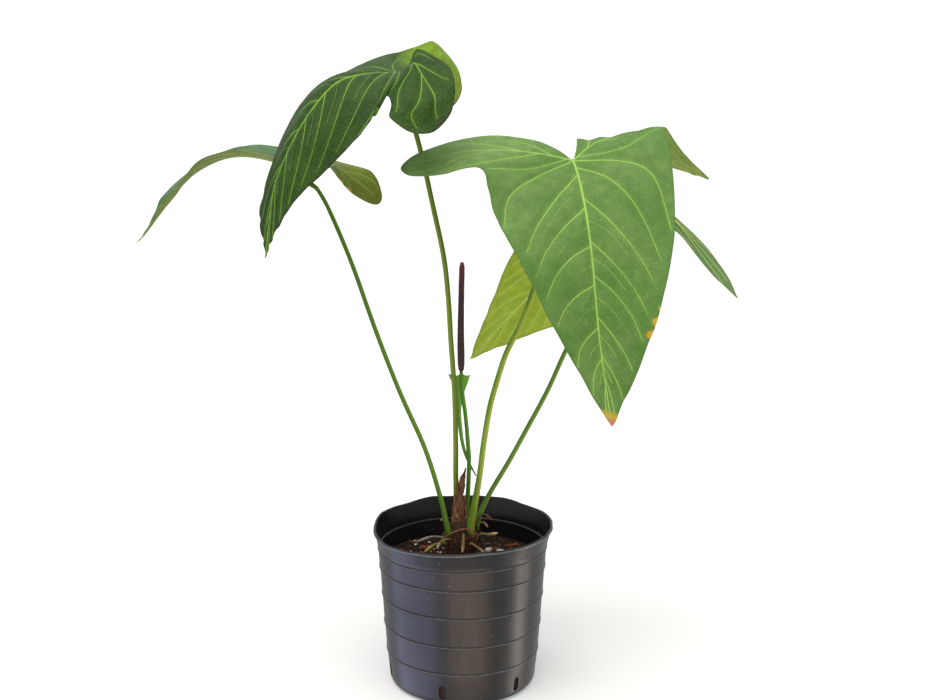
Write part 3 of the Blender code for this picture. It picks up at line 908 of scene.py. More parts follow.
@dataclass(frozen=True)
class LeafFinish:
    """Leathery leaf: waxy upper side, matt underside, paler raised veins, with
    painted sheen on the high parts of the blade and painted shade in the
    hollows of its puckering.
    """

    name: str
    upper: str
    upper_light: str
    under: str
    under_light: str
    vein: str
    under_vein: str
    margin: str
    gloss: float = 0.36
    cell_mm: float = 2.6
    drift_mm: float = 38
    sick: str = "#cfa42c"
    dead: str = "#c48468"
    lobe: str = "#4f7f42"
    shade: str = "#1d4416"

    def blade(self, top: bool) -> bpy.types.Material:
        """Build the finish of one side of the blade.

        Args:
            top: True for the upper side.

        Returns:
            The material. It reads the attributes halo, edge, blight,
            shine and lobe.
        """
        side = "upper" if top else "under"
        material, tree, shader = new_material(f"{self.name}_{side}")
        base = self.upper if top else self.under
        light = self.upper_light if top else self.under_light
        vein = self.vein if top else self.under_vein
        place = object_place(tree)
        halo = painted(tree, "halo")
        edge = painted(tree, "edge")
        blight = painted(tree, "blight")
        shine = painted(tree, "shine")
        drift = mottle(tree, place, self.drift_mm, Detail=4.0)
        patch = remap(tree, drift, low=0.35, high=0.7, last=0.45)
        # Painted sheen: the light colour also comes in where the blade stands
        # higher, on top of the random paler patches.
        patch_and_sheen = add(tree, "ShaderNodeMath", {0: patch, 1: shine},
                     operation="ADD", use_clamp=True).outputs[0]
        body = between(tree, patch_and_sheen, srgb(base), srgb(light))
        # Flat colour over the rear lobe, set for each leaf; on the front leaf
        # it is painted light, making the lobe paler than its shading leaves
        # it.
        lobe = painted(tree, "lobe")
        body = between(tree, lobe, body, srgb(self.lobe))
        # Painted shade: the blade is darkened in the hollows of its puckering,
        # from the same noise that bumps it.
        puckered = mottle(tree, place, 9, Detail=3.0, Roughness=0.6)
        painted_hollow_shade = remap(tree, puckered, low=0.62, high=0.36, last=0.32)
        body = between(tree, painted_hollow_shade, body, srgb(self.shade))
        # Net veins: cell walls a shade paler than the flesh between them.
        net = add(tree, "ShaderNodeTexVoronoi",
                  {"Vector": place, "Scale": per_metre(self.cell_mm)},
                  feature="DISTANCE_TO_EDGE").outputs["Distance"]
        wall = remap(tree, net, low=0.10, high=0.0, last=0.13)
        netted = between(tree, wall, body, srgb(vein))
        near = calc(tree, "MULTIPLY", halo, 0.10)
        veined = between(tree, near, netted, srgb(vein))
        rim = remap(tree, edge, low=0.975, high=1.0, last=0.8)
        edged = between(tree, rim, veined, srgb(self.margin))
        ragged = mottle(tree, place, 5, Detail=4.0)
        spread = calc(tree, "MULTIPLY_ADD", ragged, 0.5, blight)
        yellow = remap(tree, spread, low=0.5, high=0.8)
        sick = between(tree, yellow, edged, srgb(self.sick))
        brown = remap(tree, spread, low=0.92, high=1.08)
        colour = between(tree, brown, sick, srgb(self.dead))
        tree.links.new(colour, shader.inputs["Base Color"])
        gloss = self.gloss if top else self.gloss + 0.16
        rough = remap(tree, drift, first=gloss - 0.04, last=gloss + 0.12)
        tree.links.new(rough, shader.inputs["Roughness"])
        shader.inputs["IOR"].default_value = 1.45
        shader.inputs["Specular IOR Level"].default_value = 0.2
        pit = remap(tree, net, high=0.25)
        height = calc(tree, "MULTIPLY_ADD", puckered, 3.0, pit)
        bump = add(tree, "ShaderNodeBump",
                   {"Height": height, "Strength": 0.45 if top else 0.55,
                    "Distance": 0.45 * MM}).outputs[0]
        tree.links.new(bump, shader.inputs["Normal"])
        return material

    def rib(self) -> bpy.types.Material:
        """Build the finish of the raised veins, which reads side."""
        material, tree, shader = new_material(f"{self.name}_vein")
        top = painted(tree, "side")
        place = object_place(tree)
        drift = mottle(tree, place, 25, Detail=2.0)
        two = between(tree, top, srgb(self.under_vein), srgb(self.vein))
        fade = remap(tree, drift, low=0.4, high=0.8, last=0.5)
        colour = between(tree, fade, two, srgb(self.upper_light))
        tree.links.new(colour, shader.inputs["Base Color"])
        shader.inputs["Roughness"].default_value = 0.45
        return material


# --- Leaves ----------------------------------------------------------------

HALF_OUTLINE = (
    (0, 1), (0.035, 0.935), (0.085, 0.84), (0.15, 0.70), (0.225, 0.52),
    (0.295, 0.34), (0.335, 0.18), (0.345, 0.06), (0.35, -0.04),
    (0.41, -0.105), (0.50, -0.15), (0.58, -0.21), (0.61, -0.29),
    (0.57, -0.385), (0.47, -0.43), (0.34, -0.41), (0.20, -0.30),
    (0.09, -0.16), (0, 0))
FLAT_MIDRIB = ((0, 0), (0, 0.25), (0, 0.5), (0, 0.75), (0, 1))
FLAT_MARGIN = ((0.35, -0.04), (0.335, 0.18), (0.255, 0.45), (0.12, 0.76))
FLAT_LOBE = ((0.16, -0.25), (0.45, -0.43), (0.61, -0.29), (0.50, -0.15))
FLAT_LOBE_RIB = ((0.21, -0.10), (0.42, -0.22))


@dataclass(frozen=True)
class Side:
    """Control points of one half of a blade, in millimetres."""

    margin: tuple[Point, ...]
    lobe: tuple[Point, ...]
    lobe_rib: tuple[Point, ...]


@dataclass(frozen=True)
class Vein:
    """One vein on the flat blade, with its widths in millimetres."""

    path: Array
    start_mm: float
    end_mm: float
    main: bool = True


@dataclass(frozen=True)
class Spot:
    """A yellowed or dead spot on the flat blade."""

    x: float
    y: float
    radius: float
    strength: float = 1.0


class BentSheet:
    """Thin-plate spline that bends the flat blade through its points."""

    def __init__(self, flat: Array, bent: Array) -> None:
        """Solve the spline.

        Args:
            flat: places of the control points on the flat blade.
            bent: their places in space, in metres.
        """
        count = len(flat)
        self.flat = flat
        linear = np.hstack([np.ones((count, 1)), flat])
        system = np.block([[self.kernel(flat), linear],
                           [linear.T, np.zeros((3, 3))]])
        self.weights = np.linalg.solve(
            system, np.vstack([bent, np.zeros((3, 3))]))

    def kernel(self, places: Array) -> Array:
        """Spline kernel between places and the control points."""
        gap = np.linalg.norm(places[:, None] - self.flat[None], axis=2)
        return gap ** 2 * np.log(np.maximum(gap, 1e-9))

    def at(self, places: Array) -> Array:
        """Bent places of flat places."""
        places = np.atleast_2d(np.asarray(places, float))
        linear = np.hstack([np.ones((len(places), 1)), places])
        return np.hstack([self.kernel(places), linear]) @ self.weights

    def normals(self, places: Array) -> Array:
        """Unit normals of the upper side at flat places."""
        step = 0.004
        across = (self.at(places + (step, 0)) - self.at(places - (step, 0)))
        ahead = (self.at(places + (0, step)) - self.at(places - (0, step)))
        found = np.cross(across, ahead)
        return found / np.maximum(
            np.linalg.norm(found, axis=1, keepdims=True), 1e-12)


def half_width(y: Array | float) -> Array:
    """Half width of the flat front lobe at y."""
    front = sorted((p[1], p[0]) for p in HALF_OUTLINE[:9])
    return np.interp(y, [p[0] for p in front], [p[1] for p in front])


def vein_plan(seed: float) -> list[Vein]:
    """Lay out the veins of an arrow-shaped blade.

    Args:
        seed: varies where the side veins start and how much they bow.

    Returns:
        The midrib, the side veins that leave it at about half a right angle
        and sweep on towards the tip, thin veins between them, and the ribs
        of the two rear lobes.
    """
    rng = np.random.default_rng(int(seed * 10))
    veins = [Vein(bezier(((0, 0), (0, 0.5), (0, 0.985)), 80), 2.0, 0.35)]
    for sign in (-1, 1):
        basal = bezier(((0, 0), (0.15, 0.045), (0.27, 0.12), (0.305, 0.27)),
                       34)
        veins.append(Vein(basal * (sign, 1), 1.0, 0.2))
        starts = np.array((0.045, 0.18, 0.33, 0.47, 0.61, 0.73, 0.84))
        starts = starts + 0.016 * sign + rng.uniform(-0.014, 0.014, 7)
        ends = []
        for y in starts:
            top = min(y + 0.35 - 0.25 * y, 0.975)
            ends.append((0.88 * float(half_width(top)), top))
        for i, (y, (x, top)) in enumerate(zip(starts, ends)):
            bow = rng.uniform(0.20, 0.33)
            path = bezier(((0, y), (x * 0.45, y + (top - y) * bow),
                           (x * 0.80, y + (top - y) * (bow + 0.34)),
                           (x, top)), 36)
            veins.append(Vein(path * (sign, 1), 0.85 - 0.06 * i, 0.18))
            if i + 1 < len(starts):
                # A thinner vein between each pair fades out on the way.
                mid = (y + starts[i + 1]) / 2
                far = ((x + ends[i + 1][0]) / 2, (top + ends[i + 1][1]) / 2)
                path = bezier(((0, mid),
                               (far[0] * 0.36, mid + (far[1] - mid) * 0.16),
                               (far[0] * 0.66, mid + (far[1] - mid) * 0.42)),
                              20)
                veins.append(Vein(path * (sign, 1), 0.13, 0.04, False))
        rib = ((0, 0), (0.10, -0.075), (0.25, -0.17), (0.42, -0.26),
               (0.55, -0.305))
        line = bezier(rib, 50)
        veins.append(Vein(line * (sign, 1), 1.3, 0.25))
        for t, end, bow in (
                (0.08, (0.335, -0.05), 0.03), (0.34, (0.47, -0.155), 0.03),
                (0.58, (0.57, -0.235), 0.02), (0.22, (0.27, -0.33), -0.03),
                (0.46, (0.43, -0.395), -0.02)):
            start = line[int(t * 49)]
            middle = (start + np.array(end)) / 2 + (0.015, bow)
            path = bezier((start, middle, end), 22)
            veins.append(Vein(path * (sign, 1), 0.62, 0.15))
    return veins


@dataclass
class Leaf:
    """One leaf: a bent blade with raised veins, and its stalk."""

    name: str
    length: float
    midrib: tuple[Point, ...]
    left: Side
    right: Side
    stalk: tuple[Point, ...]
    stalk_radii: tuple[float, float, float]
    finish: LeafFinish
    stem: StemFinish
    spots: tuple[Spot, ...] = ()
    quilt: float = 1.1 * MM
    wave: float = 0.7 * MM
    thickness: float = 0.55 * MM
    shine: float = 0.0
    lobe_tint: float = 0.0
    pointed_lobe: bool = False
    rings: int = 92
    per_span: int = 10
    knuckle: float = 9 * MM
    seed: float = 0.0

    def sheet(self) -> BentSheet:
        """Spline through this blade's control points."""
        def mirror(points: Iterable[tuple[float, float]]) -> list:
            return [(-x, y) for x, y in points]

        half = (*FLAT_MARGIN, *FLAT_LOBE, *FLAT_LOBE_RIB)
        flat = np.array([*FLAT_MIDRIB, *mirror(half), *half], float)
        listed = list(self.midrib)
        for side in (self.left, self.right):
            listed += [*side.margin, *side.lobe, *side.lobe_rib]
        return BentSheet(flat, np.array(listed, float) * MM)

    def outline(self) -> Array:
        """Flat outline from the sinus round by the left to the sinus."""
        half = bezier(HALF_OUTLINE, (len(HALF_OUTLINE) - 1)
                      * self.per_span + 1)[:-1]
        left = half[::-1] * (-1, 1)
        line = np.vstack([left, half[1:]])
        if self.pointed_lobe:
            start, axis = np.array((0.42, -0.22)), np.array((0.938, -0.346))
            out = (line - start) @ axis
            pull = 0.8 * np.clip(out / 0.2, 0, 1) ** 3 * (line[:, 0] > 0.4)
            line = line + pull[:, None] * (start + out[:, None] * axis - line)
        turn = np.linspace(0, 1, len(line))
        ripple = (np.sin(turn * 61 + self.seed) * 0.6
                  + np.sin(turn * 137 + 2 * self.seed) * 0.35
                  + np.sin(turn * 233 + self.seed) * 0.2)
        return line * (1 + 0.009 * ripple)[:, None]

    def vein_gap(self, places: Array, veins: list[Vein]) -> Array:
        """Distance in metres from flat places to the nearest main vein."""
        best = np.full(len(places), 9.0)
        for vein in veins:
            if not vein.main:
                continue
            path = vein.path[::2]
            for a, b in zip(path, path[1:]):
                span = b - a
                t = np.clip((places - a) @ span / max(span @ span, 1e-12),
                            0, 1)
                gap = np.linalg.norm(places - a - t[:, None] * span, axis=1)
                best = np.minimum(best, gap)
        return best * self.length

    def blight(self, places: Array) -> Array:
        """How sick the blade is at flat places, from 0 to 1."""
        sick = np.zeros(len(places))
        for spot in self.spots:
            gap = np.linalg.norm(places - (spot.x, spot.y), axis=1)
            sick = np.maximum(sick, spot.strength * np.clip(
                1.25 - gap / spot.radius, 0, 1))
        return sick

    def lay(self, sheet: BentSheet, places: Array,
            veins: list[Vein]) -> tuple[Array, Array, Array]:
        """Bend flat places and puff up the flesh between the veins.

        Args:
            sheet: the spline of this blade.
            places: flat places.
            veins: the blade's veins.

        Returns:
            Points of the middle surface, its normals, and the distance to
            the nearest main vein.
        """
        gap = self.vein_gap(places, veins)
        puff = self.quilt * (1 - np.exp(-(gap / (5 * MM)) ** 2))
        normal = sheet.normals(places)
        reach = np.linalg.norm(places, axis=1)
        turn = np.arctan2(places[:, 0], places[:, 1])
        sway = self.wave * reach ** 2 * np.sin(
            turn * 9 + 14 * places[:, 1] + self.seed)
        return sheet.at(places) + normal * (puff + sway)[:, None], normal, gap

    def blade(self) -> tuple[Shape, BentSheet]:
        """Shape of the blade with its upper side, underside and veins."""
        sheet = self.sheet()
        veins = vein_plan(self.seed)
        line = self.outline()
        count = len(line)
        reach = np.linspace(0, 1, self.rings + 1)[1:] ** 0.95
        places = np.vstack([[(0.0, 0.0)],
                            *[line * r for r in reach]])
        edge = np.concatenate([[0.0], np.repeat(reach, count)])
        middle, normal, gap = self.lay(sheet, places, veins)
        thick = self.thickness * (1 - 0.55 * edge ** 6) / 2
        top = middle + normal * thick[:, None]
        low = middle - normal * thick[:, None]
        faces: list[tuple[int, ...]] = []
        for i in range(count - 1):
            faces.append((0, 1 + i + 1, 1 + i))
            for j in range(self.rings - 1):
                a, b = 1 + j * count + i, 1 + (j + 1) * count + i
                faces.append((a, a + 1, b + 1, b))
        total = len(places)
        under = [tuple(i + total for i in reversed(f)) for f in faces]
        rim = []
        border = [0, *range(1, total, count)]
        last = 1 + (self.rings - 1) * count
        border += list(range(last + 1, last + count))
        border += list(reversed(range(count, total - count + 1, count)))
        for a, b in zip(border, [*border[1:], border[0]]):
            rim.append((a, a + total, b + total, b))
        halo = np.exp(-(gap / (2.2 * MM)) ** 2)
        # Painted sheen: a lighter colour that grows with the height of the
        # blade.
        sheen_by_height = self.shine * np.clip(middle[:, 2] - middle[:, 2].min(), 0,
                                      None) / np.ptp(middle[:, 2])
        # Mask of the rear lobe for its flat colour, which on the front leaf is
        # painted light.
        lobe = np.clip((places[:, 0] - 0.12) / 0.12, 0, 1) * np.clip(
            (-0.02 - places[:, 1]) / 0.08, 0, 1) * self.lobe_tint
        values = {"halo": halo, "edge": edge, "lobe": lobe,
                  "blight": self.blight(places), "shine": sheen_by_height}
        slots = [0] * len(faces) + [1] * len(under) + [0] * len(rim)
        shape = Shape(np.vstack([top, low]), faces + under + rim, slots,
                      {k: np.concatenate([v, v]) for k, v in values.items()})
        for vein in veins:
            path, up, _ = self.lay(sheet, vein.path, veins)
            radii = np.linspace(vein.start_mm, vein.end_mm,
                                6) * MM * 0.5 + self.thickness * 0.5
            tube = sweep(path, radii, 8, 0.9)
            ups = np.vstack([np.repeat(up, 8, axis=0), up[:1], up[-1:]])
            ring = np.vstack([np.repeat(path, 8, axis=0), path[:1],
                              path[-1:]])
            facing = np.einsum("ij,ij->i", tube.verts - ring, ups)
            tube.values = {"side": (facing > -0.1 * MM).astype(float)}
            shape.join(tube, 2)
        return shape, sheet

    def build(self) -> None:
        """Make the blade and the stalk of this leaf."""
        shape, sheet = self.blade()
        blade = shape.piece(f"leaf_blade_{self.name}",
                            [self.finish.blade(True), self.finish.blade(False),
                             self.finish.rib()], 60)
        settle(blade, [f"blade_{self.name}"])
        origin = np.zeros((1, 2))
        joint = sheet.at(origin)[0]
        down = -sheet.normals(np.array([(0.0, 0.02)]))[0]
        points = np.vstack([np.array(self.stalk) * MM,
                            joint + down * self.knuckle,
                            joint + down * self.thickness * 0.4])
        base, middle, top = self.stalk_radii
        path = bezier(points, 150)
        spans = len(points) - 1
        knots = np.linspace(0, 1, spans + 1)
        radii = np.interp(np.linspace(0, 1, 150), knots,
                          [base * 1.12, (base + middle) / 2,
                           *np.linspace(middle, top, spans - 3),
                           top * 1.35, top * 1.2]) * MM
        stalk = sweep(path, radii, 24)
        wobble = 1 + 0.03 * fractal(stalk.verts, 14, self.seed, 2)
        core = np.vstack([np.repeat(path, 24, axis=0), path[:1], path[-1:]])
        stalk.verts = core + (stalk.verts - core) * wobble[:, None]
        piece = stalk.piece(f"leaf_stalk_{self.name}", [self.stem.make()])
        settle(piece, [f"petiole_{self.name}"])


def leaves() -> list[Leaf]:
    """The four leaves with their shapes and finishes."""
    return [
        Leaf(
            name="upper", length=0.235, seed=0.7, shine=0.5,
            quilt=1.9 * MM, wave=1.3 * MM, lobe_tint=1.0,
            midrib=((-55, -20, 546), (-101, -35, 539), (-134, -45, 499),
                    (-156, -50, 451), (-162, -50, 394)),
            left=Side(
                margin=((-61, -75, 526), (-70, -95, 507), (-109, -85, 465),
                        (-146, -70, 427)),
                lobe=((-37, -21, 564), (-7, -62, 540), (-22, -86, 498),
                      (-57, -85, 510)),
                lobe_rib=((-41, -48, 549), (-28, -78, 522))),
            right=Side(
                margin=((-55, 50, 565), (-105, 43, 546), (-143, 15, 514),
                        (-170, -22, 434)),
                lobe=((-37, 6, 524), (-9, 64, 520), (-7, 80, 553),
                      (-28, 68, 575)),
                lobe_rib=((-44, 18, 550), (-21, 56, 562))),
            stalk=((-5, 5, 140), (-5, 8, 160), (-6, 7, 186), (-6, 5, 220),
                   (-7, 2, 268), (-10, -3, 315), (-12, -6, 352),
                   (-16, -10, 391), (-25, -13, 435), (-35, -15, 481),
                   (-45, -16, 516)),
            stalk_radii=(3.4, 2.4, 2.1),
            finish=LeafFinish("leaf_upper", "#122c02", "#3a5c20", "#4c8420",
                              "#6fa032", "#80b428", "#9ccc40", "#2b1f1c",
                              gloss=0.38, lobe="#86a82c",
                              shade="#0c2003"),
            stem=StemFinish("stem_upper", "#64801a", "#7d8c26", "#44600f",
                            "#7a7a30")),
        Leaf(
            name="front", length=0.235, seed=2.1, shine=0.25,
            # The front leaf's lobe colour is painted light: a paler lobe than
            # its shading gives.
            lobe_tint=0.6, quilt=2.0 * MM, wave=1.0 * MM,
            midrib=((93, -30, 474), (102, -70, 427), (107, -92, 373),
                    (113, -100, 318), (122, -100, 263)),
            left=Side(
                margin=((170, -20, 500), (175, -55, 441), (166, -85, 380),
                        (144, -100, 317)),
                lobe=((102, 10, 489), (188, 45, 463), (215, 15, 455),
                      (194, 0, 473)),
                lobe_rib=((133, -10, 493), (182, 20, 477))),
            right=Side(
                margin=((17, -65, 467), (25, -80, 434), (47, -100, 395),
                        (79, -105, 335)),
                lobe=((64, -5, 488), (0, -10, 490), (-50, -50, 468),
                      (-18, -70, 463)),
                lobe_rib=((50, -35, 478), (-6, -45, 478))),
            stalk=((7, -6, 136), (8, -8, 150), (15, -10, 192),
                   (19, -12, 225), (24, -14, 257), (30, -16, 281),
                   (38, -18, 307), (48, -21, 329), (59, -22, 357),
                   (75, -22, 408), (87, -20, 446)),
            stalk_radii=(4.2, 2.7, 2.3),
            finish=LeafFinish("leaf_front", "#547f38", "#80a25e", "#8aa544",
                              "#a9bd60", "#a2d25a", "#b4cc74", "#5a7a3a",
                              gloss=0.44, lobe="#88aa66",
                              shade="#386820"),
            spots=(Spot(0, 1.0, 0.06), Spot(-0.19, 0.605, 0.020, 0.8),
                   Spot(-0.165, 0.655, 0.02, 0.75),
                   Spot(-0.21, 0.56, 0.014, 0.7)),
            stem=StemFinish("stem_front", "#94aa36", "#4c7618", "#aab244",
                            "#6a8a3a")),
        Leaf(
            name="rear_right", length=0.225, seed=3.3, lobe_tint=1.0,
            pointed_lobe=True, wave=1.2 * MM,
            midrib=((155, 50, 423), (119, 80, 401), (83, 100, 363),
                    (44, 115, 317), (7, 120, 276)),
            left=Side(
                margin=((123, 60, 449), (79, 65, 424), (43, 80, 376),
                        (26, 95, 330)),
                lobe=((167, 65, 435), (167, 95, 448), (152, 120, 458),
                      (132, 95, 453)),
                lobe_rib=((146, 65, 440), (147, 90, 449))),
            right=Side(
                margin=((193, 85, 404), (163, 125, 343), (112, 145, 308),
                        (54, 135, 292)),
                lobe=((183, 75, 428), (241, 84, 377), (256, 66, 344),
                      (218, 62, 381)),
                lobe_rib=((179, 70, 420), (213, 70, 397))),
            stalk=((10, 3, 134), (15, 4, 152), (25, 8, 173), (42, 13, 201),
                   (58, 17, 230), (77, 22, 265), (93, 27, 300),
                   (114, 30, 343), (134, 33, 383), (148, 38, 405)),
            stalk_radii=(3.4, 2.3, 2.0),
            finish=LeafFinish("leaf_rear", "#5f8f4e", "#86a873", "#93b12a",
                              "#b3c646", "#9cc65c", "#c6d868", "#8a8f3a",
                              gloss=0.44, lobe="#6c9262",
                              shade="#6a8c20"),
            spots=(Spot(0, 1.0, 0.03, 0.7),),
            stem=StemFinish("stem_rear", "#729438", "#4a7020", "#7c9c3e",
                            "#3f6a2a")),
        Leaf(
            name="left", length=0.22, seed=4.6, quilt=0.7 * MM,
            wave=2.2 * MM, lobe_tint=1.0,
            midrib=((-139, 85, 458), (-188, 75, 473), (-234, 80, 467),
                    (-266, 80, 438), (-304, 70, 394)),
            left=Side(
                margin=((-140, 0, 471), (-179, 20, 480), (-226, 30, 475),
                        (-270, 55, 434)),
                lobe=((-126, 50, 467), (-99, -10, 483), (-107, -30, 493),
                      (-127, -20, 483)),
                lobe_rib=((-134, 40, 472), (-118, 5, 485))),
            right=Side(
                margin=((-137, 145, 470), (-193, 130, 483), (-241, 130, 471),
                        (-286, 100, 433)),
                lobe=((-122, 80, 463), (-106, 118, 437), (-79, 134, 429),
                      (-90, 132, 458)),
                lobe_rib=((-123, 100, 467), (-101, 125, 452))),
            stalk=((-10, -3, 132), (-14, -6, 146), (-20, -3, 173),
                   (-34, 6, 216), (-57, 18, 266), (-79, 32, 320),
                   (-101, 50, 378), (-122, 68, 424), (-134, 80, 443)),
            stalk_radii=(3.2, 2.2, 1.9),
            finish=LeafFinish("leaf_left", "#47714a", "#7d9a80", "#76893f",
                              "#98a867", "#86b04e", "#9db05c", "#6f7a38",
                              gloss=0.44, lobe="#707d2a",
                              shade="#3a5420"),
            spots=(Spot(0, 1.0, 0.035, 0.9), Spot(0.40, -0.42, 0.05, 0.7),
                   Spot(0.30, -0.39, 0.04, 0.75),
                   Spot(0.22, -0.32, 0.03, 0.65)),
            stem=StemFinish("stem_left", "#5c8424", "#466e1a", "#729832",
                            "#3f6f1e")),
    ]


# --- Crown, sheath and roots -----------------------------------------------

@dataclass(frozen=True)
class DryFinish:
    """Dead leaf tissue: papery, matt, streaked along its fibres."""

    name: str
    dark: str
    light: str
    streak_mm: float = 1.2
    roughness: float = 0.82

    def make(self) -> bpy.types.Material:
        """Build the material."""
        material, tree, shader = new_material(self.name)
        place = object_place(tree)
        drawn = add(tree, "ShaderNodeMapping",
                    {"Vector": place, "Scale": (1, 1, 0.04)}).outputs[0]
        streak = mottle(tree, drawn, self.streak_mm, Detail=4.0)
        mixed = remap(tree, streak, low=0.35, high=0.66)
        colour = between(tree, mixed, srgb(self.dark), srgb(self.light))
        tree.links.new(colour, shader.inputs["Base Color"])
        shader.inputs["Roughness"].default_value = self.roughness
        bump = add(tree, "ShaderNodeBump",
                   {"Height": streak, "Strength": 0.8,
                    "Distance": 0.4 * MM}).outputs[0]
        tree.links.new(bump, shader.inputs["Normal"])
        return material


@dataclass(frozen=True)
class RootFinish:
    """Corky aerial root: dull skin, paler and moister at its growing tip."""

    name: str
    skin: str
    tip: str

    def make(self) -> bpy.types.Material:
        """Build the material from the attribute along."""
        material, tree, shader = new_material(self.name)
        along = painted(tree, "along")
        place = object_place(tree)
        drift = mottle(tree, place, 2.5, Detail=4.0)
        grime = remap(tree, drift, low=0.45, high=0.75, last=0.7)
        skin = between(tree, grime, srgb(self.skin), srgb("#3a2a1c"))
        end = remap(tree, along, low=0.72, high=0.9)
        colour = between(tree, end, skin, srgb(self.tip))
        tree.links.new(colour, shader.inputs["Base Color"])
        shader.inputs["Roughness"].default_value = 0.62
        bump = add(tree, "ShaderNodeBump",
                   {"Height": drift, "Strength": 0.5,
                    "Distance": 0.3 * MM}).outputs[0]
        tree.links.new(bump, shader.inputs["Normal"])
        return material


TAN_ROOT = RootFinish("root_tan", "#8a7440", "#dcae80")
OLIVE_ROOT = RootFinish("root_olive", "#7c7a3a", "#b9a64e")
GREY_ROOT = RootFinish("root_grey", "#8a8980", "#a8a596")


@dataclass
class Crown:
    """Short rhizome wrapped in fibres, with its sheath and aerial roots."""

    profile: tuple[tuple[float, float], ...] = (
        (0, 149), (6, 148), (10, 144.5), (12.5, 138), (13, 128),
        (11.5, 114), (8, 104), (0, 102))
    stretch: float = 1.1
    roots: tuple[tuple[tuple[Point, ...], float, RootFinish], ...] = (
        (((-8, 2, 130), (-16, 6, 131), (-28, 9, 131), (-42, 10, 126)), 1.0,
         GREY_ROOT),
        (((-8, -2, 124), (-16, -5, 130), (-25, -7, 129), (-34, -8, 123)),
         1.3, OLIVE_ROOT),
        (((-7, -7, 132), (-13, -12, 136), (-19, -15, 134.5),
          (-23, -17, 129)), 1.2, TAN_ROOT),
        (((1, -8, 138), (1, -15, 141), (1, -19, 136), (0, -21, 127)), 1.3,
         TAN_ROOT),
        (((4, -8, 128), (8, -15, 133), (14, -18, 130), (20, -18, 125)), 1.2,
         TAN_ROOT),
        (((9, -1, 132), (16, -3, 138), (24, -2, 137), (32, -1, 138)), 1.3,
         TAN_ROOT),
        (((7, 6, 138), (14, 10, 143), (19, 11, 144), (23, 11, 140)), 1.1,
         TAN_ROOT),
        (((-8, 6, 137), (-13, 10, 145), (-18, 13, 146), (-20, 14, 145)),
         1.1, TAN_ROOT),
        (((2, 9, 132), (5, 18, 136), (9, 26, 131), (12, 32, 121)), 1.3,
         OLIVE_ROOT),
        (((-4, 9, 130), (-11, 20, 132), (-16, 29, 128), (-18, 35, 120)),
         1.2, TAN_ROOT),
    )
    sheath: tuple[tuple[Point, float, float], ...] = (
        ((-4, 3, 143), 4.6, 75), ((-4.2, 4, 152), 5.0, 80),
        ((-4, 4, 163), 5.0, 80), ((-2.4, 4.5, 174), 3.9, 65),
        ((0, 4.5, 186), 3.4, 45), ((3, 3.5, 199), 2.4, 12))
    sheath_deg: float = -95
    fibre: tuple[Point, ...] = (
        (9, -5, 130), (14, -12, 138), (8, -15, 145.5), (0, -15.5, 146.5),
        (-11, -17, 143), (-19, -20.5, 138))
    flap: tuple[tuple[Point, Point], ...] = (
        ((10, -4, 143), (10, -1.5, 143)), ((15, -4.5, 153), (16, -2, 155)),
        ((20, -4.5, 156), (21, -1.5, 157)), ((27, -4, 151), (28, -2, 151)))
    strands: int = 150
    seed: int = 5

    def build(self) -> None:
        """Make the crown and everything that grows from it."""
        self.build_core()
        self.build_strands()
        self.build_sheath()
        self.build_dry_bits()
        self.build_roots()

    def build_core(self) -> None:
        """Knobbly rhizome."""
        line = bezier(self.profile, 50) * MM
        profile = [(max(float(r), 0.0), float(z)) for r, z in line]
        profile[0] = (0.0, profile[0][1])
        profile[-1] = (0.0, profile[-1][1])
        shape = revolve(profile[::-1], 96)
        shape.verts[:, 0] *= self.stretch
        knobs = fractal(shape.verts, 7, 2.0, 4) * 0.9 * MM
        reach = np.maximum(np.linalg.norm(shape.verts[:, :2], axis=1), 1e-4)
        shape.verts[:, :2] *= (1 + knobs / np.maximum(reach, 5 * MM)
                               )[:, None]
        finish = DryFinish("rhizome_bark", "#1a100b", "#4a3020", 2.0, 0.9)
        piece = shape.piece("rhizome", [finish.make()], 60)
        settle(piece, ["crown"])

    def build_strands(self) -> None:
        """Dry fibres that cling to the crown and hang down round it."""
        rng = np.random.default_rng(self.seed)
        whole = Shape()
        for _ in range(self.strands):
            turn = rng.uniform(0, math.tau)
            high = rng.uniform(132, 150)
            drop = rng.uniform(3, 24)
            twist = rng.normal(0, 1.2)
            points = []
            for t in np.linspace(0, 1, 6):
                z = max(high - drop * t, 119)
                radius = np.interp(z, (119, 128, 138, 145, 150),
                                   (13.8, 13.9, 13.2, 10.6, 6.5))
                radius += rng.normal(0, 0.75) + 1.8 * t ** 3
                angle = turn + twist * t + rng.normal(0, 0.10)
                points.append((self.stretch * radius * math.cos(angle),
                               radius * math.sin(angle), z))
            path = bezier(points, 16) * MM
            width = rng.uniform(0.16, 0.42) * MM
            whole.join(sweep(path, (width, width, width * 0.4), 6, 0.6))
        finish = DryFinish("crown_fibre", "#2e180e", "#7a4c30", 1.5)
        piece = whole.piece("crown_fibres", [finish.make()])
        settle(piece, [])
        wrapped = Shape()
        for k in range(20):
            # Loosened sheath fibres wind round the base of the stalks.
            turn = rng.uniform(0, math.tau)
            low = rng.uniform(142, 154)
            high = low + rng.uniform(10, 30)
            swirl = rng.uniform(0.8, 2.4) * (1 if k % 3 else -1)
            points = []
            for t in np.linspace(0, 1, 7):
                z = low + (high - low) * t
                reach = np.interp(z, (140, 150, 165, 178, 190),
                                  (8.8, 6.6, 5.9, 4.6, 3.2))
                reach += rng.normal(0, 0.7)
                a = turn + swirl * t
                points.append((-2.5 + reach * math.cos(a),
                               3.5 + reach * math.sin(a) * 0.9, z))
            path = bezier(points, 24) * MM
            width = rng.uniform(0.25, 0.6) * MM
            wrapped.join(sweep(path, (width * 0.4, width, width * 0.8,
                                      width * 0.3), 6, 0.5))
        finish = DryFinish("loose_fibre", "#5a3018", "#c08c62", 1.5)
        settle(wrapped.piece("wrapped_fibres", [finish.make()]), [])

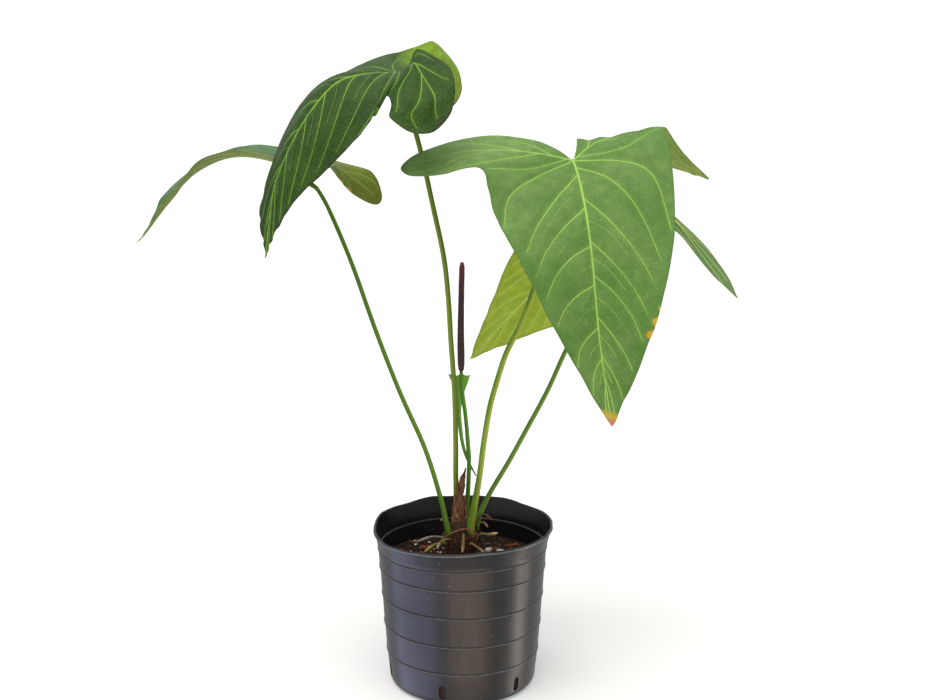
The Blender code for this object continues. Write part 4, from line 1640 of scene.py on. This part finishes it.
    def build_sheath(self) -> None:
        """Curled papery sheath with a torn edge and lengthwise creases."""
        rows, columns = 60, 41
        centre = bezier([s[0] for s in self.sheath], rows)
        radius = bezier([(s[1], s[2]) for s in self.sheath], rows)
        across = np.linspace(-1, 1, columns)
        grid = np.zeros((rows, columns, 3))
        for i in range(rows):
            reach, half = radius[i]
            torn = 1 + 0.10 * math.sin(i * 0.9) + 0.07 * math.sin(i * 2.3)
            angle = np.radians(self.sheath_deg + half * torn * across)
            crease = (0.55 * np.sin(across * 13 + 0.16 * i)
                      + 0.30 * np.sin(across * 29 + 0.25 * i))
            bulge = 0.5 * math.sin(i * 0.22) * (1 - abs(across) ** 2)
            r = reach + crease + bulge
            grid[i, :, 0] = centre[i, 0] + r * np.cos(angle)
            grid[i, :, 1] = centre[i, 1] + r * np.sin(angle)
            grid[i, :, 2] = centre[i, 2] + 1.2 * np.abs(across) * np.sin(
                i * 0.35 + across * 3)
        piece = self.thin_sheet("leaf_sheath", grid * MM, 0.25 * MM,
                                DryFinish("dry_sheath", "#2c160e",
                                          "#b07c58", 1.3))
        settle(piece, ["dry_sheath"])

    @staticmethod
    def thin_sheet(name: str, grid: Array, thickness: float,
                   finish: DryFinish | StemFinish) -> bpy.types.Object:
        """Make a thin closed sheet over a grid of points.

        Args:
            name: name of the piece.
            grid: rows by columns of points in metres.
            thickness: thickness of the sheet.
            finish: its finish.

        Returns:
            The new object.
        """
        rows, columns = grid.shape[:2]
        faces = [(r * columns + c, r * columns + c + 1,
                  (r + 1) * columns + c + 1, (r + 1) * columns + c)
                 for r in range(rows - 1) for c in range(columns - 1)]
        along = np.repeat(np.linspace(0, 1, rows), columns)
        flank = np.tile(np.linspace(-1, 1, columns), rows)
        shape = Shape(grid.reshape(-1, 3), faces, [0] * len(faces),
                      {"along": along, "flank": flank})
        piece = shape.piece(name, [finish.make()])
        solid = piece.modifiers.new("Thickness", "SOLIDIFY")
        solid.thickness = thickness
        solid.offset = 0
        return piece

    def build_dry_bits(self) -> None:
        """Fibre arched before the crown and the dry flap at its side."""
        path = bezier(self.fibre, 50) * MM
        ribbon = sweep(path, np.array((0.7, 0.9, 1.0, 0.8, 0.4)) * MM, 12,
                       0.55)
        finish = DryFinish("dry_fibre", "#7a4a30", "#cf9670", 1.2)
        settle(ribbon.piece("arched_fibre", [finish.make()]),
               ["dry_fibre"])
        left = bezier([s[0] for s in self.flap], 30)
        right = bezier([s[1] for s in self.flap], 30)
        across = np.linspace(0, 1, 9)[None, :, None]
        grid = left[:, None] * (1 - across) + right[:, None] * across
        grid[:, :, 2] += 0.5 * np.sin(np.linspace(0, 9, 30))[:, None] * (
            np.linspace(-1, 1, 9)[None, :])
        piece = self.thin_sheet("side_flap", grid * MM, 0.3 * MM,
                                DryFinish("dry_flap", "#2e1810", "#7a4630"))
        settle(piece, ["dry_flap"])

    def build_roots(self) -> None:
        """Aerial roots with blunt pale tips."""
        for i, (points, radius, finish) in enumerate(self.roots):
            path = bezier(points, 60) * MM
            thick = np.array((1.2, 1.0, 0.95, 0.9, 0.9, 1.0, 1.25, 1.15,
                              0.6)) * radius * MM
            root = sweep(path, thick, 16)
            knobs = 1 + 0.10 * fractal(root.verts, 3, i, 3)
            core = np.vstack([np.repeat(path, 16, axis=0), path[:1],
                              path[-1:]])
            root.verts = core + (root.verts - core) * knobs[:, None]
            piece = root.piece(f"aerial_root_{i + 1}", [finish.make()])
            settle(piece, [f"root_{i + 1}"])


# --- Flower ----------------------------------------------------------------

@dataclass(frozen=True)
class SpadixFinish:
    """Packed tiny flowers: dull maroon, paler at the top of the spike."""

    low: str = "#3a2024"
    high: str = "#7c2c40"
    bud: str = "#5c3c42"

    def make(self) -> bpy.types.Material:
        """Build the material from Object coordinates."""
        material, tree, shader = new_material("spadix_skin")
        place = object_place(tree)
        height = add(tree, "ShaderNodeSeparateXYZ", {0: place}).outputs["Z"]
        up = remap(tree, height, low=0.35, high=0.383)
        body = between(tree, up, srgb(self.low), srgb(self.high))
        fleck = mottle(tree, place, 1.4, Detail=3.0)
        mixed = remap(tree, fleck, low=0.45, high=0.7, last=0.7)
        colour = between(tree, mixed, body, srgb(self.bud))
        tree.links.new(colour, shader.inputs["Base Color"])
        shader.inputs["Roughness"].default_value = 0.55
        return material


@dataclass
class Flower:
    """Flower stalk, spadix and the small spathe behind it."""

    stalk: tuple[Point, ...] = (
        (3, 7, 138), (4, 10, 150), (6, 12, 198), (5, 12, 219), (3, 12, 243),
        (0, 12, 267), (-1, 12, 285))
    stalk_radii: tuple[float, ...] = (2.4, 2.1, 2.0, 1.9, 1.8, 1.6)
    spadix: tuple[Point, ...] = (
        (-1, 12, 285.5), (-1.4, 12, 318), (-1.0, 12, 351), (-0.2, 12, 383.5))
    spadix_radii: tuple[float, ...] = (
        1.9, 2.9, 3.15, 3.2, 3.2, 3.1, 3.0, 2.95, 2.85, 2.8, 2.7, 2.65, 2.55,
        2.55, 2.5, 2.5, 2.45, 2.4, 2.3, 1.9)
    spathe: tuple[tuple[Point, Point], ...] = (
        ((-13, 13.6, 283), (7, 13.6, 282)),
        ((-10, 13.8, 276), (5, 13.8, 275)),
        ((-7, 14.2, 266), (1.5, 14.2, 265)),
        ((-5, 15, 250), (-1, 15.5, 250)),
        ((-4, 15.5, 236), (-0.5, 16.5, 236)),
        ((-1, 16, 216), (2, 17, 216)), ((4, 16.5, 201), (7, 16.5, 200)),
        ((12, 16, 187), (13, 16, 187)))
    bud_rows: int = 108
    buds_round: int = 15

    def build(self) -> None:
        """Make the flower's pieces."""
        path = bezier(self.stalk, 110) * MM
        stalk = sweep(path, np.array(self.stalk_radii) * MM, 20)
        finish = StemFinish("peduncle_skin", "#44800e", "#3c7210", "#649a2a",
                            "#5a7a2c")
        settle(stalk.piece("flower_stalk", [finish.make()]), ["peduncle"])
        self.build_spadix()
        self.build_spathe()

    def build_spadix(self) -> None:
        """Spike with its flowers as low domes in a spiral lattice."""
        path = bezier(self.spadix, 90) * MM
        core = sweep(path, np.array(self.spadix_radii) * MM * 0.93, 24)
        host = core.piece("flower_spike", [])
        spots = []
        radii = np.interp(np.linspace(0, 1, 90), np.linspace(
            0, 1, len(self.spadix_radii)), self.spadix_radii) * MM
        for row in range(self.bud_rows):
            t = 0.02 + 0.96 * row / self.bud_rows
            i = round(t * 89)
            for k in range(self.buds_round):
                angle = math.tau * (k + 0.5 * (row % 2)) / self.buds_round
                spots.append(path[i] + np.array(
                    (math.cos(angle) * radii[i] * 0.9,
                     math.sin(angle) * radii[i] * 0.9,
                     (t * 89 - i) * 1.1 * MM)))
        points = bpy.data.meshes.new("bud_spots")
        points.from_pydata(np.array(spots).tolist(), [], [])
        seat = bpy.data.objects.new("flower_buds", points)
        bpy.context.scene.collection.objects.link(seat)
        material = SpadixFinish().make()
        tree = bpy.data.node_groups.new("spadix_buds", "GeometryNodeTree")
        face = tree.interface
        face.new_socket("Spots", in_out="INPUT",
                        socket_type="NodeSocketGeometry")
        size = face.new_socket("Bud Size", in_out="INPUT",
                               socket_type="NodeSocketFloat")
        face.new_socket("Buds", in_out="OUTPUT",
                        socket_type="NodeSocketGeometry")
        given = add(tree, "NodeGroupInput")
        bud = add(tree, "GeometryNodeMeshIcoSphere",
                  {"Radius": 1.0, "Subdivisions": 1})
        vary = add(tree, "FunctionNodeRandomValue",
                   {2: 0.85, 3: 1.15, "Seed": 4},
                   data_type="FLOAT").outputs[1]
        scale = add(tree, "ShaderNodeMath",
                    {0: vary, 1: given.outputs["Bud Size"]},
                    operation="MULTIPLY").outputs[0]
        grown = add(tree, "GeometryNodeInstanceOnPoints",
                    {"Points": given.outputs["Spots"],
                     "Instance": bud.outputs["Mesh"], "Scale": scale})
        real = add(tree, "GeometryNodeRealizeInstances",
                   {0: grown.outputs[0]})
        dressed = add(tree, "GeometryNodeSetMaterial",
                      {0: real.outputs[0], "Material": material})
        out = add(tree, "NodeGroupOutput")
        tree.links.new(dressed.outputs[0], out.inputs["Buds"])
        modifier = seat.modifiers.new("Buds", "NODES")
        modifier.node_group = tree
        modifier[size.identifier] = 0.52 * MM
        graph = bpy.context.evaluated_depsgraph_get()
        mesh = bpy.data.meshes.new_from_object(seat.evaluated_get(graph))
        mesh.shade_smooth()
        seat.modifiers.clear()
        seat.data = mesh
        host.data.materials.append(material)
        settle(host, ["spadix"])
        settle(seat, [])

    def build_spathe(self) -> None:
        """Reflexed green spathe with pointed ears and a twisted tail."""
        rows, columns = 90, 17
        left = bezier([s[0] for s in self.spathe], rows)
        right = bezier([s[1] for s in self.spathe], rows)
        across = np.linspace(0, 1, columns)
        grid = (left[:, None] * (1 - across)[None, :, None]
                + right[:, None] * across[None, :, None])
        bow = 1.0 - (2 * across - 1) ** 2
        grid[:, :, 1] += bow[None, :] * np.linspace(1.2, 0.6, rows)[:, None]
        # The top edge dips between the two ears.
        dip = np.exp(-np.linspace(0, 6, rows))[:, None]
        grid[:, :, 2] += dip * (2.6 * np.exp(-((across - 0.6) / 0.12) ** 2)
                                - 1.6 * bow)[None, :]
        # Painted light and shade: the spathe goes from a shaded colour on one
        # edge to a lit colour on the other.
        finish = StemFinish("spathe_skin", "#5f9a34", "#4f8a28", "#86b84e",
                            "#74a83c", -0.8, 0.6)
        piece = Crown.thin_sheet("hanging_spathe", grid * MM, 0.4 * MM,
                                 finish)
        settle(piece, ["spathe"])


# --- Studio ----------------------------------------------------------------

@dataclass
class Studio:
    """Pale floor, soft light and the camera."""

    floor_radius: float = 3.0
    curve: float = 1.2
    wall_height: float = 6.0
    near_glow: float = 0.24
    far_glow: float = 0.50
    lens_mm: float = 48.8
    camera_place: Point = (0.0037, -1.1, 0.516)
    pitch_deg: float = 10.74
    world_strength: float = 0.62

    def build(self) -> None:
        """Set up the floor, the lights and the camera."""
        self.build_floor()
        self.build_lights()
        self.build_camera()

    def build_floor(self) -> None:
        """Seamless white floor that curves up into a wall all round.

        It shows, but lights nothing, so the sky alone sets the fill light.
        """
        segments = 96
        profile = [(0.0, 0.0), (self.floor_radius, 0.0)]
        for i in range(1, 13):
            a = math.radians(7.5 * i)
            profile.append((self.floor_radius + self.curve * math.sin(a),
                            self.curve * (1 - math.cos(a))))
        profile.append((self.floor_radius + self.curve, self.wall_height))
        verts = [(r * math.cos(math.tau * j / segments),
                  r * math.sin(math.tau * j / segments), z)
                 for r, z in profile[1:] for j in range(segments)]
        rows = len(profile) - 1
        faces = [tuple(range(segments))]
        faces += [(i * segments + j, (i + 1) * segments + j,
                   (i + 1) * segments + (j + 1) % segments,
                   i * segments + (j + 1) % segments)
                  for i in range(rows - 1) for j in range(segments)]
        mesh = bpy.data.meshes.new("floor")
        mesh.from_pydata(verts, [], faces)
        mesh.shade_smooth()
        floor = bpy.data.objects.new("floor", mesh)
        bpy.context.scene.collection.objects.link(floor)
        floor.visible_diffuse = False
        floor.visible_glossy = False
        floor.visible_shadow = False
        material, tree, shader = new_material("studio_floor")
        shader.inputs["Base Color"].default_value = srgb("#f8f8f9")
        shader.inputs["Roughness"].default_value = 0.9
        shader.inputs["Specular IOR Level"].default_value = 0.0
        shader.inputs["Emission Color"].default_value = srgb("#ffffff")
        place = object_place(tree)
        reach = add(tree, "ShaderNodeVectorMath", {0: place},
                    operation="LENGTH").outputs["Value"]
        # Painted shade: the glow is dimmer round the pot, darkening the floor
        # there so that its contact shadow shows.
        glow = add(tree, "ShaderNodeMapRange",
                   {"Value": reach, "From Min": 0.10, "From Max": 0.9,
                    "To Min": self.near_glow, "To Max": self.far_glow},
                   interpolation_type="SMOOTHSTEP").outputs["Result"]
        tree.links.new(glow, shader.inputs["Emission Strength"])
        mesh.materials.append(material)

    def light(self, name: str, place: Point, target: Point,
              size: tuple[float, float], watts: float, colour: str) -> None:
        """Add one softbox.

        Args:
            name: name of the light.
            place: where it stands.
            target: what it points at.
            size: width and height of the softbox.
            watts: its power.
            colour: its sRGB hex colour.
        """
        data = bpy.data.lights.new(name, "AREA")
        data.shape = "RECTANGLE"
        data.size, data.size_y = size
        data.energy = watts
        data.color = srgb(colour)[:3]
        lamp = bpy.data.objects.new(name, data)
        lamp.location = place
        lamp.visible_camera = False
        lamp.rotation_euler = (Vector(target) - Vector(place)
                               ).to_track_quat("-Z", "Y").to_euler()
        bpy.context.scene.collection.objects.link(lamp)

    def build_lights(self) -> None:
        """White surroundings, an overhead key and two side boxes."""
        world = bpy.data.worlds.new("studio")
        world.use_nodes = True
        sky = world.node_tree.nodes["Background"]
        sky.inputs["Color"].default_value = srgb("#ffffff")
        sky.inputs["Strength"].default_value = self.world_strength
        bpy.context.scene.world = world
        self.light("key", (-0.3, -0.6, 2.0), (0, 0, 0.35), (1.7, 1.7), 24,
                   "#fffaf2")
        # Three boxes below the floor's level show in the sheen of the pot,
        # which mirrors what lies lower than itself.
        self.light("strip_box", (1.27, -0.06, -0.42), (0, 0, 0.07),
                   (0.34, 0.8), 4.6, "#fff4ea")
        self.light("warm_box", (0.15, -1.3, -0.48), (0, 0, 0.07),
                   (1.3, 0.6), 5.6, "#ffe2c8")
        self.light("blue_box", (-1.15, -0.34, -0.66), (0, 0, 0.04),
                   (1.9, 0.6), 10.0, "#c6c8f6")

    def build_camera(self) -> None:
        """Camera slightly above the rim, tilted down."""
        data = bpy.data.cameras.new("camera")
        data.lens = self.lens_mm
        data.sensor_fit = "HORIZONTAL"
        data.sensor_width = 36
        camera = bpy.data.objects.new("camera", data)
        camera.location = self.camera_place
        camera.rotation_euler = (math.radians(90 - self.pitch_deg), 0, 0)
        bpy.context.scene.collection.objects.link(camera)
        bpy.context.scene.camera = camera
        bpy.context.scene.view_settings.view_transform = "Standard"


def main() -> None:
    """Build every piece of the potted plant in order."""
    logging.basicConfig(level=logging.INFO, format="%(name)s: %(message)s")
    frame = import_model()
    LOG.info("packed model has %d nodes", len(frame["nodes"]))
    Studio().build()
    pot = NurseryPot()
    pot.build()
    PottingMix().build(pot)
    Crown().build()
    for leaf in leaves():
        leaf.build()
    Flower().build()
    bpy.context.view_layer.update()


if __name__ == "__main__":
    main()
